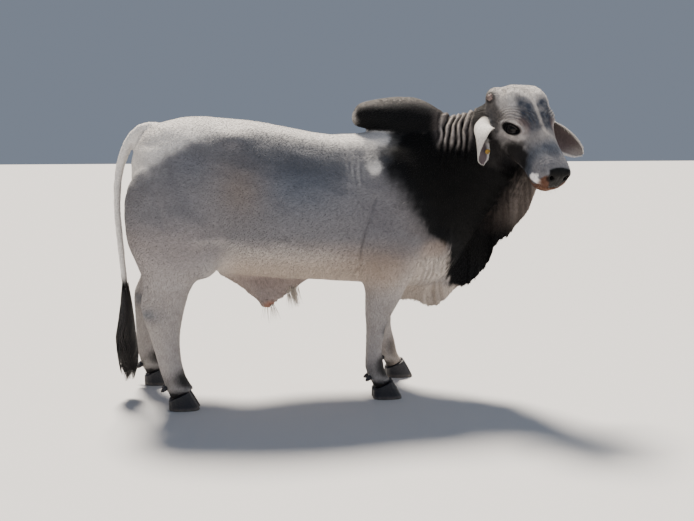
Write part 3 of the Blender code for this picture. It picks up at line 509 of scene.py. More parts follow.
# Folds, hollows and veins of the hide: places in metres, x and z on the body, heights out of the skin
bodySpec = {
    "bumps": (  # x, z, half width, half height, rise
        (0.506, 1.381, 0.045, 0.034, 0.011), (0.455, 1.228, 0.042, 0.044, 0.014),
        (0.44, 1.318, 0.026, 0.042, -0.01), (0.56, 1.3, 0.06, 0.09, -0.004),
        (-0.64, 1.345, 0.06, 0.026, -0.01), (-0.56, 1.418, 0.06, 0.03, 0.006),
        (-0.28, 1.38, 0.06, 0.045, 0.006), (-0.5, 0.72, 0.08, 0.07, 0.005),
        (-0.352, 0.873, 0.085, 0.016, 0.007), (-0.279, 0.74, 0.026, 0.02, -0.004),
        (-0.34, 0.815, 0.06, 0.03, -0.005), (0.5, 0.7, 0.04, 0.04, 0.006),
        (0.455, 0.76, 0.02, 0.07, -0.004), (0.62, 0.83, 0.09, 0.05, -0.006),
        (0.64, 1.08, 0.07, 0.12, 0.005),
    ),
    "creases": (  # half width, depth, then the line's x and z
        (0.009, 0.007, (0.47, 1.07), (0.457, 1.04), (0.424, 0.936), (0.397, 0.818), (0.394, 0.68)),
        (0.007, 0.003, (0.35, 1.33), (0.362, 1.23), (0.366, 1.12), (0.352, 1.02)),
        (0.007, 0.0026, (0.318, 1.345), (0.328, 1.25), (0.334, 1.16)),
        (0.008, 0.003, (0.44, 0.85), (0.452, 0.78), (0.47, 0.72), (0.5, 0.66)),
        (0.008, 0.0026, (0.548, 0.9), (0.56, 0.82), (0.6, 0.74)),
        (0.014, 0.004, (-0.64, 1.25), (-0.61, 1.08), (-0.56, 0.93), (-0.555, 0.8)),
        (0.006, 0.003, (-0.618, 0.7), (-0.6, 0.64), (-0.592, 0.58)),
        (0.004, 0.0022, (-0.56, 0.514), (-0.534, 0.517), (-0.5, 0.513)),
        (0.004, 0.0018, (-0.585, 0.488), (-0.56, 0.492), (-0.53, 0.487)),
        (0.006, 0.002, (0.3, 0.73), (0.306, 0.7), (0.318, 0.672)),
        (0.006, 0.0018, (0.262, 0.742), (0.272, 0.706), (0.282, 0.68)),
    ),
    "fineFolds": (0.312, 0.455, 0.95, 1.33, 0.027, 0.001),  # x, x, z, z, spacing, height
    "neckFolds": (0.031, 0.008),  # spacing, height
    "hoofTop": 0.104,  # where the hair ends
    "pleats": (0.03, 0.0024),
}
headForms = {  # a along the face, b to the side, c outwards; half sizes; rise
    "bumps": (
        (0.18, 0.098, 0.002, 0.04, 0.03, 0.024, 0.0045),  # brow
        (0.15, 0.118, -0.06, 0.04, 0.03, 0.03, -0.0035),  # temple
        (0.3, 0.098, -0.05, 0.07, 0.024, 0.014, 0.003),  # facial crest
        (0.33, 0.06, 0.01, 0.07, 0.018, 0.03, -0.0022),
        (0.305, 0.105, -0.16, 0.06, 0.04, 0.05, 0.005),  # jaw muscle
        (0.395, 0.095, -0.11, 0.026, 0.03, 0.06, -0.004),
        (0.5, 0.088, -0.08, 0.04, 0.03, 0.04, 0.004),  # upper lip
        (0.5, 0.05, -0.008, 0.034, 0.02, 0.02, 0.003),  # over the nostril
        (0.33, 0.08, -0.19, 0.06, 0.03, 0.03, 0.002),
        (0.1, 0.06, 0.03, 0.05, 0.04, 0.03, 0.003),
    ),
    "grooves": (  # half width, depth, then the line's places
        (0.012, 0.007, (0.04, 0.15, -0.03), (0.068, 0.15, -0.08), (0.118, 0.148, -0.104),
         (0.165, 0.142, -0.128)),
        (0.004, 0.0032, (0.445, 0.078, -0.128), (0.47, 0.084, -0.128), (0.51, 0.084, -0.123),
         (0.545, 0.07, -0.119), (0.562, 0.04, -0.117), (0.566, 0.0, -0.116)),  # mouth
        (0.003, 0.0016, (0.566, 0.0, -0.02), (0.572, 0.0, -0.06), (0.57, 0.0, -0.116)),  # philtrum
        (0.005, 0.0022, (0.42, 0.07, -0.13), (0.432, 0.08, -0.112), (0.436, 0.088, -0.09)),
    ),
    "arcs": 0.0125,  # from one wrinkle over the eye to the next
    "pad": (0.534, 0.06, 0.03),  # its back edge on the bridge, half widths above and below
    "nostril": (0.558, 0.04, -0.052),
    "veins": (
        (0.0035, 0.0016, (0.3, 0.102, -0.12), (0.34, 0.098, -0.085), (0.39, 0.09, -0.06),
         (0.44, 0.08, -0.04)),
        (0.003, 0.0013, (0.34, 0.098, -0.085), (0.38, 0.094, -0.095), (0.43, 0.092, -0.085)),
    ),
}


def lineDistance(co, spots):  # how far each point lies from a broken line
    best = np.full(len(co), 9.0)
    spots = np.array(spots, float)
    for start, end in zip(spots[:-1], spots[1:]):
        way = end - start
        share = np.clip(((co - start) @ way) / (way @ way), 0, 1)
        best = np.minimum(best, np.linalg.norm(co - start - share[:, None] * way, axis=1))
    return best


def eyePlaces(co, side):  # how far out, along and above the eye's centre
    return (co - onHead(eyeSpec["place"], side)) @ eyeDirections(side).T


def almond(length, height):  # 1 on the eye's rim, less inside
    a, b = eyeSpec["opening"]
    lean = 1 - 0.1 * np.clip(length / a, -1, 1)
    return np.sqrt((length / a) ** 2 + (height / (b * lean)) ** 2 + 0.2 * np.abs(length * height) / (a * b))


def nearEye(co, side, height, reach=0.13):  # distances from the eye, and where they are small
    out, length, up = eyePlaces(co, side).T
    return out, length, up, (np.abs(length) < reach) & (np.abs(up) < height)


def besideEye(co, side):  # the same on its own half of the head alone
    _, length, up, here = nearEye(co, side, 0.13)
    return length, up, here & (headPlaces(co)[:, 1] * side > 0.02)


elbowCrease = bodySpec["creases"][0][2:]


def facingAside(normal):
    return ramp(np.abs(normal[:, 1]), 0.25, 0.6)


def fineFolds(p):  # the wave of the fine upright folds behind the shoulder
    return ripple(p[:, 0] + 0.006 * softNoise(p, 0.12, 4), bodySpec["fineFolds"][4])


def neckFolds(co):  # the upright folds behind the turned head: wave and share
    p = measured(co)
    x, y, z = p.T
    s = (x - 0.9) * 0.878 - y * 0.479 + 0.0075 * softNoise(p * (1, 1, 0.6), 0.09, 5)
    inside = within(s, -0.03, 0.02, 0.15, 0.18) * within(z, 1.2, 1.36, 1.57, 1.6)
    inside *= ramp(x, 0.8, 0.84) * (0.35 + 0.65 * ramp(-y, -0.08, 0.02)) * (1 - headShare(co))
    wave = ripple(s, bodySpec["neckFolds"][0])
    return wave - 0.35 * np.abs(wave), inside * np.clip(1 + 0.6 * softNoise(p, 0.06, 6), 0.2, 1.4)


def trunkForms(p, normal, onBody):  # bumps, creases and folds of the body
    x, y, z = p.T
    flat = p[:, (0, 2)]
    sideways = facingAside(normal)
    total = 0.0016 * softNoise(p, 0.11, 9) * ramp(z, 0.5, 0.6) * onBody
    for bx, bz, bw, bh, rise in bodySpec["bumps"]:
        total += rise * bell(x, bx, bw) * bell(z, bz, bh) * sideways
    for half, depth, *spots in bodySpec["creases"]:
        total -= depth * bell(lineDistance(flat, spots), 0, half) * sideways * ramp(np.abs(y), 0.05, 0.12)
    x0, x1, z0, z1, _, height = bodySpec["fineFolds"]
    inside = within(x, x0 - 0.03, x0 + 0.02, x1 - 0.02, x1 + 0.02)
    inside *= within(z, z0, z0 + 0.1, z1 - 0.03, z1 + 0.04)
    total += height * inside * sideways * fineFolds(p)
    spacing, height = bodySpec["pleats"]
    turn = math.radians(28) * ramp(x, 0.75, 1.05)
    s = x * np.cos(turn) - y * np.sin(turn) + 0.018 * softNoise(p, 0.34, 7)
    inside = ramp(x, 0.66, 0.8) * onBody * fall(z, 1.3, 1.42) * ramp(z, 0.44, 0.5)
    strength = 0.4 + 0.6 * fall(z, 0.75, 1.05)
    strength *= np.clip(0.8 + 0.9 * softNoise(p * (1, 1, 0.4), 0.16, 8), 0, 1.6)
    strength *= 1 + ramp(0.72 - z, 0, 0.06)
    total += height * inside * strength * ripple(s, spacing)
    drape = np.hypot(x - 0.1, z - 0.7) + 0.008 * softNoise(p, 0.06, 10)
    sheath = within(z, 0.42, 0.45, 0.615, 0.655) * bell(x, -0.05, 0.13) * fall(np.abs(y), 0.08, 0.11)
    return total + 0.0046 * sheath * ripple(drape, 0.027)


def legForms(p, normal):  # tendon grooves, the knee's flat, creases at the fetlock and the hoof's swelling
    x, _, z = p.T
    ahead = normal[:, 0]
    sideways = facingAside(normal)
    leg = fall(z, 0.62, 0.72)
    fore = ramp(x, -0.1, 0.1)
    cannon = within(z, 0.15, 0.22, 0.34, 0.42)
    total = -0.0045 * cannon * bell(ahead, -0.42, 0.26) * sideways
    total += 0.003 * cannon * bell(ahead, -0.95, 0.3)
    total -= 0.003 * leg * fore * bell(z, 0.375, 0.035) * ramp(ahead, 0.5, 0.95)
    total += 0.003 * leg * fore * (bell(z, 0.42, 0.025) + bell(z, 0.34, 0.018)) * ramp(ahead, 0.2, 0.8)
    shin = within(z, 0.45, 0.52, 0.62, 0.72) * (1 - fore)
    total -= 0.005 * shin * bell(ahead, -0.55, 0.24) * sideways
    fetlock = bell(z, 0.152, 0.03) * ramp(np.abs(ahead), 0.2, 0.7)
    total += 0.0011 * leg * fetlock * ripple(z + 0.25 * x, 0.0135)
    return total + 0.003 * bell(z, bodySpec["hoofTop"], 0.01) * leg


def browArcs(h, length, up):  # wrinkles over and behind the eye: how far out, and their share
    ring = np.hypot(length * 0.86, up) + 0.003 * softNoise(h, 0.05, 14)
    share = ramp(ring, 0.04, 0.05) * (1 - ramp(ring, 0.095, 0.125)) * ramp(up - 0.35 * length, 0.01, 0.04)
    return ring, share


def faceForms(co):
    h, folded = foldedHead(co)
    a, b, c = folded.T
    total = 0.0009 * softNoise(h, 0.035, 13)
    for ba, bb, bc, wa, wb, wc, rise in headForms["bumps"]:
        total += rise * bell(a, ba, wa) * bell(b, bb, wb) * bell(c, bc, wc)
    for sign, kind in ((-1, "grooves"), (1, "veins")):
        for half, rise, *spots in headForms[kind]:
            total += sign * rise * bell(lineDistance(folded, spots), 0, half)
    total += 0.0016 * bell(b, 0, 0.01) * within(a, 0.03, 0.08, 0.26, 0.34) * ramp(c, 0, 0.02)
    fromNostril = np.linalg.norm((folded - headForms["nostril"]) * (1.0, 1.0, 0.9), axis=1)
    wrinkle = within(fromNostril, 0.045, 0.055, 0.09, 0.115) * fall(a, 0.515, 0.535) * ramp(c, -0.11, -0.07)
    total += 0.0008 * wrinkle * ripple(fromNostril + 0.003 * softNoise(h, 0.05, 12), 0.0125)
    total -= 0.0016 * bell(padShare(h), 0.5, 0.22) * ramp(a, 0.5, 0.53)
    jowl = within(a, 0.18, 0.24, 0.36, 0.42) * fall(c, -0.2, -0.15)
    total += 0.0016 * jowl * ripple(a + 0.25 * c, 0.024)
    for side in (-1, 1):
        length, up, here = besideEye(co, side)
        r = np.where(here, almond(length, up), 99.0)
        above = ramp(up / (np.hypot(up, length) + 1e-6), -0.35, 0.15)
        total += 0.0024 * bell(r, 1.22, 0.2)
        total -= (0.0012 + 0.0014 * above) * bell(r, 1.62, 0.1) * ramp(r, 1.0, 1.4)
        total += (0.0008 + 0.0012 * above) * bell(r, 1.86, 0.14)
        total -= 0.0012 * above * bell(r, 2.08, 0.09)
        ring, arcs = browArcs(h, length, up)
        total += 0.0026 * arcs * ripple(ring, headForms["arcs"])
        bags = within(ring, 0.038, 0.044, 0.06, 0.075) * ramp(-up, 0.008, 0.03)
        total += 0.0018 * bags * ripple(ring, 0.011)
    return total * headShare(co)


def padShare(h):  # 1 on the bare nose pad, 0 on the haired muzzle
    back, wide, narrow = headForms["pad"]
    a, b, c = h[:, 0], np.abs(h[:, 1]), h[:, 2]
    half = narrow + (wide - narrow) * ramp(c, -0.122, -0.03)
    edge = back + 0.18 * np.clip(b - 0.02, 0, 1)
    front = ramp(a, edge - 0.007, edge + 0.003) * ramp(c, -0.121, -0.115)
    return front * fall(b, half - 0.004, half + 0.004)


def openEyes(mesh):  # sinks the skin behind each eyeball inside its lids
    co = pointsOf(mesh)
    for side in (-1, 1):
        out, length, up, here = nearEye(co, side, 0.04, 0.05)
        here &= out > -0.005
        r = np.where(here, almond(length, up), 99.0)
        ball = np.sqrt(np.clip(eyeSpec["ball"] ** 2 - length ** 2 - up ** 2, 0, 1)) - eyeSpec["sunk"]
        inside = fall(r, 0.86, 1.04)
        hug = fall(r, 1.0, 1.75) * (1 - inside)
        wanted = out + (ball - 0.005 - out) * inside + np.clip(ball + 0.0024 - out, -0.012, 0.006) * hug
        wanted = np.where(here & (r < 1.8), wanted, out)
        co += (wanted - out)[:, None] * eyeDirections(side)[0]
    setPoints(mesh, co)


def carveSkin(mesh):
    co, normal, edges = pointsOf(mesh), normalsOf(mesh), edgesOf(mesh)
    p = measured(co)
    wave, inside = neckFolds(co)
    rise = trunkForms(p, normal, 1 - headShare(co)) + legForms(p, normal) + faceForms(co)
    rise += bodySpec["neckFolds"][1] * inside * wave
    normal = unit(spread(normal, edges, 6))
    setPoints(mesh, spread(co + normal * rise[:, None], edges, 2, 0.4))
    openEyes(mesh)


carveSkin(skin.data)
print("hide carved")


def tubeFaces(rows, ring, closed):  # squares between rows of points that each run round a ring
    return [(i * ring + k, i * ring + m, n * ring + m, n * ring + k)
            for i in range(rows if closed else rows - 1) for n in [(i + 1) % rows]
            for k in range(ring) for m in [(k + 1) % ring]]


# The ears: curled leaves with a fleshy root, open along the front, joined to the skin
earSpec = {
    "root": (0.056, 0.146, -0.142),  # of the left ear, in the head's directions
    "rows": (  # share of the length, half width, curl
        (-0.16, 0.05, 2.3), (0.0, 0.062, 2.25), (0.1, 0.072, 1.95), (0.28, 0.084, 1.5),
        (0.48, 0.086, 1.22), (0.66, 0.074, 1.0), (0.82, 0.055, 0.82), (0.93, 0.036, 0.66),
        (1.0, 0.008, 0.5),
    ),
    "wall": (0.011, 0.0046),
    "turnEnd": 0.9,  # the share of the length past which the opening no longer turns
    # the tip from the root, how far it bows near the root, where the opening faces, more curl at the root,
    # how far round the ear the opening turns towards the root, and how wide the ear is
    -1: ((-0.058, -0.135, -0.24), (-0.068, -0.062, 0.006), (0.54, -0.84, 0.05), 0.3, 1.62, 1.06),
    1: ((0.238, -0.095, -0.194), (0.006, 0.01, -0.006), (-0.15, -0.9, -0.3), 0.0, 0.0, 1.0),
    "steps": ((56, 26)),
}


def earPoint(side, share, place, half):  # half: 0.5 on the back of the ear, -0.5 inside it
    reach, bow, opening, roll, turned, wide = (np.array(v, float) for v in earSpec[side])
    rows = np.array(earSpec["rows"])
    width = np.interp(share, rows[:, 0], rows[:, 1])
    curl = np.interp(share, rows[:, 0], rows[:, 2])
    along = max(share, 0.0)
    centre = onHead(earSpec["root"], side) + reach * share + bow * math.sin(math.pi * along ** 0.6)
    bend = math.sin(math.pi * (along + 0.01) ** 0.6) - math.sin(math.pi * along ** 0.6)
    ahead = unit(reach * 0.01 + bow * (bend if share < 0.995 else -0.005))
    inward = unit(opening - ahead * (opening @ ahead))
    turn = -turned * max(0.0, 1 - along / earSpec["turnEnd"])
    inward = inward * math.cos(turn) + np.cross(ahead, inward) * math.sin(turn)
    across = np.cross(ahead, inward)
    radius = wide * width / curl
    angle = min(2.6, curl + roll * (1 - along) ** 1.5) * place
    fleshy = max(0.0, 1 - 3 * along)
    wall = earSpec["wall"][1] + (earSpec["wall"][0] - earSpec["wall"][1]) * fleshy
    ribs = 0.001 * math.sin(9 * place + 1.5) * math.sin(math.pi * min(1, along)) * (half < 0)
    r = radius + half * wall * (1 - 0.5 * place ** 2) + ribs
    return centre + inward * (radius - r * math.cos(angle)) + across * r * math.sin(angle)


def earMesh(side):  # the mesh, with each point's share, place and half
    rows, columns = earSpec["steps"]
    facts = [(-0.16 + 1.16 * math.sin(math.pi / 2 * i / (rows - 1)) ** 1.1,
              math.sin(math.pi / 2 * (2 * k / (columns - 1) - 1)) * (1 if half > 0 else -1), half)
             for i in range(rows) for half in (0.5, -0.5) for k in range(columns)]
    points = [earPoint(side, *fact) for fact in facts]
    ring = 2 * columns
    faces = tubeFaces(rows, ring, False)
    for first in (0, (rows - 1) * ring):  # both ends are closed across the wall
        last = first + ring - 1
        faces += [(first + k, first + k + 1, last - k - 1, last - k) for k in range(columns - 1)]
    obj = meshOf("ear", points, faces)
    reshaped(obj.data, facingOut)
    return obj, np.array(points), np.array(facts)


def thinned(obj):  # keeps the face and the folds fine and the flanks coarser
    mesh = obj.data
    co = pointsOf(mesh)
    p = measured(co)
    keep = np.maximum(0.85 * headShare(co), 0.45 * ramp(p[:, 0], 0.72, 0.84))
    crease = lineDistance(p[:, (0, 2)], elbowCrease)
    keep = np.maximum(keep, 0.6 * fall(crease, 0.015, 0.04))
    for side in (-1, 1):
        out, length, up = eyePlaces(co, side).T
        keep = np.maximum(keep, fall(np.hypot(out, np.hypot(length, up)), 0.055, 0.075))
    group = obj.vertex_groups.new(name="thin")
    for level in range(11):
        chosen = np.flatnonzero(np.round(keep * 10) == level)
        group.add(chosen.tolist(), 0.75 - 0.075 * level, "REPLACE")
    ratio = skinSpec["triangles"] / (2 * len(mesh.polygons))
    modified(obj, "DECIMATE", ratio=min(1.0, ratio), vertex_group="thin", vertex_group_factor=0.004)


def joinEar(obj, side):
    ear, points, facts = earMesh(side)
    before = len(obj.data.vertices)
    modified(obj, "BOOLEAN", operation="UNION", object=ear, solver="EXACT")
    if len(obj.data.vertices) < before:
        raise SystemExit("the ear didn't join the skin")
    bpy.data.objects.remove(ear)
    return points, facts


def triangles(bm):
    bmesh.ops.remove_doubles(bm, verts=bm.verts, dist=1e-5)
    bmesh.ops.triangulate(bm, faces=bm.faces)


def blendRoots(mesh, ears):  # softens the corner where each ear leaves the head
    reshaped(mesh, triangles)
    co = pointsOf(mesh)
    near = np.zeros(len(co))
    for points, facts in ears:
        centre = points[np.abs(facts[:, 0]) < 0.12].mean(axis=0)
        near = np.maximum(near, fall(apart(co, centre), 0.06, 0.085))
    setPoints(mesh, spread(co, edgesOf(mesh), 5, 0.45 * near))


thinned(skin)
print("skin thinned to", len(skin.data.polygons), "faces")
ears = [joinEar(skin, side) for side in (-1, 1)]
blendRoots(skin.data, ears)
print("ears joined:", len(skin.data.polygons), "faces")

# Markings and painted light: the hair's and skin's own colours, with shade partly painted into the grey and
# blue flanks and the dark muzzle, and the colours of painted light and shade on lumps, hollows, folds,
# creases, ears and eyes
coatColours = {
    "cream": "#dfdbd7", "grey": "#57565d", "blue": "#5b626e", "warm": "#776d67", "tan": "#ab9684",
    "leg": "#b1aaa6", "thigh": "#948c8a", "charcoal": "#0b0c0e", "black": "#040507", "foldGrey": "#56504e",
    "sunlitHumpTop": "#97928d", "throat": "#4a413c", "streak": "#8f847c", "flap": "#b9aca0", "sheath": "#9a8b85",
    "sheathTip": "#9a6650", "udder": "#8f7d73", "brow": "#9a9592", "slate": "#363c48", "rose": "#6b5956",
    "muzzle": "#3c4655", "nose": "#030304", "chin": "#573520", "cheek": "#151314", "ring": "#bdb5b0",
    "lid": "#060607", "patch": "#fbf8f6", "ear": "#eeeae5", "earDeep": "#463e3d", "earTip": "#655a5d",
    "earFar": "#574d4d", "hoofEdge": "#121113", "band": "#aaa5a0", "creaseShade": "#5f6670", "root": "#1e1b1b",
    "foldCrest": "#a8a09b",
}
neckEdge = {  # where the dark neck begins behind: height and x, from the bottom
    "line": ((0.545, 0.925), (0.585, 0.916), (0.715, 0.89), (0.815, 0.866), (0.845, 0.818), (0.895, 0.74),
             (0.96, 0.682), (1.07, 0.612), (1.145, 0.552), (1.212, 0.512), (1.281, 0.506), (1.34, 0.535),
             (1.4, 0.56), (1.486, 0.48), (1.6, 0.4)),
    "fade": (0.03, 0.078),  # below and above the chest
}
sunEdge = (  # x and how low the cream of the back reaches there: partly the back's own pale hair, partly painted sunlight, with painted shade in the grey below
    (-0.8, 1.1), (-0.698, 1.194), (-0.634, 1.237), (-0.561, 1.28), (-0.497, 1.322), (-0.41, 1.364),
    (-0.313, 1.392), (-0.196, 1.405), (-0.088, 1.402), (0.016, 1.39), (0.11, 1.368), (0.225, 1.35),
    (0.347, 1.338), (0.45, 1.33),
)


def lineAt(line, values):
    return np.interp(values, *np.array(line).T)


def colour(name):
    return linear(coatColours[name])


def painted(tone, *layers):  # each layer: a colour's name and how far it covers
    for name, share in layers:
        tone = tone + (colour(name) - tone) * np.clip(share * np.ones(len(tone)), 0, 1)[:, None]
    return tone


def steep(normal):  # 1 on the sides, 0 on the back and belly
    return ramp(1 - np.abs(normal[:, 2]), 0.15, 0.75)


def mottled(tone, mottle, strength):
    return tone * (1 + strength * mottle)[:, None]


def patch(co, centre, radii):  # 1 in the middle of a soft oval, 0 from its edge outwards
    return fall(apart(co, centre, radii), 0.45, 1.35)


def blot(co, centre, radii, ragged):  # the same with a crisp, ragged edge
    return fall(apart(co, centre, radii) + 0.16 * ragged, 0.72, 1.12)


def trunkColours(p, normal, mottle, speckle):
    x, _, z = p.T
    flat = p[:, (0, 2)]
    side = steep(normal)
    # the edge between the painted sunlit back and the painted shade of the flank
    high = lineAt(sunEdge, x) + 0.006 * mottle + 0.012 * speckle
    chest = ramp(x, 0.18, 0.34)
    flank = fall(z, high - 0.03, high + 0.022) * ramp(z, 0.6 - 0.04 * chest, 0.88 - 0.08 * chest)
    # where the flank faces upwards below the sunlit back, for painted shade
    over = flank * ramp(normal[:, 2], 0.1, 0.5)
    stripes = fineFolds(p) * bell(x, 0.362, 0.055)
    crease = lineDistance(flat, elbowCrease)
    ridge = lineDistance(flat, ((-0.42, 0.862), (-0.352, 0.873), (-0.285, 0.865)))
    tone = painted(
        np.tile(colour("cream"), (len(p), 1)),
        # the flank's own grey and blue, darkened further with painted shade below the sunlit back
        ("grey", 0.85 * flank * side),
        ("blue", 0.8 * flank * bell(x, 0.08, 0.3) * bell(z, 1.16, 0.17)),
        ("blue", 0.45 * flank * bell(x, -0.44, 0.12) * bell(z, 1.24, 0.12)),
        ("warm", 0.7 * bell(x, -0.2, 0.12) * bell(z, 1.12, 0.14) * side),
        # painted shade: the flank's upward-facing parts below the sunlit back in slate
        ("slate", 0.68 * over * ramp(x, -0.55, -0.1)),
        ("slate", 0.35 * over * fall(x, -0.55, -0.1)),
        ("flap", 0.65 * ramp(x, 0.6, 0.72) * fall(z, 0.72, 0.84)),
        ("warm", 0.45 * patch(flat, (0.54, 0.7), (0.11, 0.08))),
        ("thigh", 0.8 * fall(x, -0.45, -0.22) * fall(z, 0.85, 1.02)),
        ("tan", 0.75 * fall(z, 0.7, 0.9) * within(x, -0.4, -0.2, 0.5, 0.8)),
        ("grey", 0.45 * bell(x, 0.5, 0.14) * bell(z, 0.95, 0.17)),
        # painted highlights on the crests of the fine folds behind the shoulder
        ("cream", 0.55 * ramp(stripes, 0.1, 0.9) * bell(z, 1.235, 0.085) * side),
        # painted shade along the elbow crease
        ("charcoal", 0.4 * bell(crease, 0, 0.007) * side * within(z, 0.66, 0.76, 0.86, 1.02)),
        ("leg", 0.6 * bell(ridge, 0, 0.016) * side),
        ("leg", fall(z, 0.52, 0.66)),
    )
    return mottled(tone, mottle, 0.05)


def legColours(tone, p, normal, mottle):  # knees, hocks, pasterns and the edge of the hoof
    x, _, z = p.T
    ahead = normal[:, 0]
    fore = x > 0
    low = fall(z, 0.6, 0.64)
    top = np.where(fore, 0.232, 0.205) + 0.02 * ahead
    pastern = fall(z, top - 0.035, top + 0.012) * (0.3 + 0.7 * ramp(ahead, -0.5, 0.5)) * fall(x, 0.9, 1.0)
    return painted(
        tone,
        # painted shade in the groove behind the hock and in the knee's crease, its darkest line in charcoal
        ("creaseShade", 0.8 * low * ~fore * bell(z, 0.5, 0.035) * bell(ahead, -0.5, 0.5)),
        ("creaseShade", 0.5 * low * fore * bell(z, 0.38, 0.045) * ramp(ahead, 0.0, 0.6)),
        ("charcoal", 0.55 * low * fore * bell(z, 0.374, 0.022) * ramp(ahead, 0.45, 0.9)),
        ("warm", 0.35 * low * (0.5 + 0.5 * mottle) * ramp(z, 0.15, 0.3)),
        ("charcoal", 0.92 * pastern),
        ("band", 0.8 * bell(z + 0.02 * ahead, 0.118, 0.014)),
        ("hoofEdge", fall(z, 0.098, 0.106)),
    )


def foreColours(tone, co, normal, region, mottle, speckle):  # neck, hump and dewlap
    p = measured(co)
    x, y, z = p.T
    flat = p[:, (0, 2)]
    side = steep(normal)
    hump = among(region, "hump")
    edge = lineAt(neckEdge["line"], z) + 0.014 * softNoise(p, 0.1, 23) + 0.02 * speckle
    fade = neckEdge["fade"][0] + (neckEdge["fade"][1] - neckEdge["fade"][0]) * ramp(z, 0.86, 1.06)
    dark = ramp(x, edge - fade, edge + fade) * ramp(z + 0.01 * mottle, 0.528, 0.566)
    crest = ramp(x, 0.78, 0.84) * ramp(z, 1.3, 1.42) * (1 - headShare(co))
    wave, inside = neckFolds(co)
    throat = ramp(x - 0.5 * (z - 1.0) + 0.02 * speckle, 1.12, 1.23) * within(z, 0.82, 1.0, 1.28, 1.36)
    streaks = np.column_stack((x * 0.6 - y * 0.8, 0.15 * z, 0.05 * z))
    streaks = np.clip(0.5 + 1.1 * softNoise(streaks, 0.03, 24), 0, 1)
    flapTop = 0.582 - 0.036 * ramp(x, 0.88, 0.94)
    flap = fall(z + 0.012 * mottle, flapTop - 0.022, flapTop + 0.022) * ramp(x, 0.62, 0.7)
    return painted(
        tone,
        ("throat", 0.5 * bell(x - edge, -0.02, 0.07) * bell(z, 0.86, 0.13) * ramp(z, 0.62, 0.7)),
        ("charcoal", np.maximum(dark, hump)),
        ("black", ramp(x, edge + 0.03, edge + 0.16) * ramp(z, 0.6, 0.72) * ~hump),
        # painted sunlight on the hump's upward-facing top
        ("sunlitHumpTop", 0.75 * hump * ramp(normal[:, 2], 0.25, 0.95)),
        ("cream", 0.75 * hump * fall(x + 0.01 * speckle, 0.38, 0.425)),
        # painted shade in the two hollows in front of the hump, painted sunlight on the lumps and on the
        # ridge between the hollows
        ("slate", 0.85 * blot(flat, (0.425, 1.302), (0.046, 0.036), speckle) * side),
        ("slate", 0.6 * blot(flat, (0.53, 1.296), (0.036, 0.04), speckle) * side),
        ("cream", 0.97 * blot(flat, (0.512, 1.368), (0.06, 0.04), speckle) * ~hump),
        ("cream", 0.97 * blot(flat, (0.468, 1.228), (0.046, 0.036), speckle) * side),
        ("cream", 0.75 * blot(flat, (0.482, 1.298), (0.012, 0.06), speckle) * side),
        ("foldGrey", 0.85 * crest),
        # painted light on the crests of the neck folds and painted shade in their troughs
        ("foldCrest", 0.9 * inside * ramp(wave, -0.3, 0.6) * ramp(z, 1.29, 1.38)),
        ("black", 0.85 * inside * fall(wave, -1.0, -0.2)),
        ("throat", 0.9 * throat),
        # painted highlights in streaks on the near side of the throat, over its own brown
        ("streak", throat * (0.2 + 0.35 * streaks) * ramp(-y, 0.08, 0.2)),
        ("flap", flap * 0.9),
        ("tan", 0.4 * patch(flat, (0.78, 0.8), (0.08, 0.05))),
    )


def bodyColours(co, normal, region):
    p = measured(co)
    z = p[:, 2]
    mottle = softNoise(p, 0.16, 21) + 0.5 * softNoise(p, 0.07, 22)
    speckle = softNoise(p * (1.0, 1.0, 0.45), 0.022, 25)
    tone = legColours(trunkColours(p, normal, mottle, speckle), p, normal, mottle)
    tone = foreColours(tone, co, normal, region, mottle, speckle)
    sheath, tail = among(region, "sheath"), among(region, *tailNodes)
    return painted(
        tone,
        ("sheath", sheath * (0.9 + 0.1 * mottle) * ramp(0.672 - z, -0.005, 0.05)),
        ("sheathTip", 0.75 * patch(p[:, (0, 2)], (-0.05, 0.476), (0.042, 0.034)) * sheath),
        ("udder", 0.8 * among(region, "scrotum")),
        ("ear", 0.97 * tail),
        # painted shade on the tail's side that faces the rump
        ("grey", 0.25 * tail * ramp(normal[:, 0], 0.2, 0.8)),
        ("black", tail * fall(z, 0.6, 0.68)),
    )


def eyeColours(tone, co, mottle):  # the pale ring, the wrinkles' shade, a painted highlight along the upper lid and the dark lids
    for side in (-1, 1):
        length, up, here = besideEye(co, side)
        r = np.where(here, np.hypot((length + 0.008) / 0.058, (up + 0.001) / 0.0285), 9.0)
        ring = ramp(r, 0.85, 1.2) * fall(r, 1.55, 2.1)
        ring *= (0.8 + 0.15 * mottle) * (0.4 + 0.6 * ramp(-up, -0.015, 0.02))
        away, arcs = browArcs(headPlaces(co), length, up)
        tone = painted(
            tone,
            ("ring", ring * ramp(length + 0.5 * np.abs(up), -0.075, -0.03)),
            ("foldGrey", 0.6 * arcs * here * ramp(-ripple(away, headForms["arcs"]), 0.1, 0.9)),
            # painted highlight along the roll of the upper lid
            ("cream", 0.5 * bell(r, 1.28, 0.1) * ramp(up, -0.004, 0.012) * here),
            ("lid", fall(r, 0.92, 1.14)),
        )
    return tone


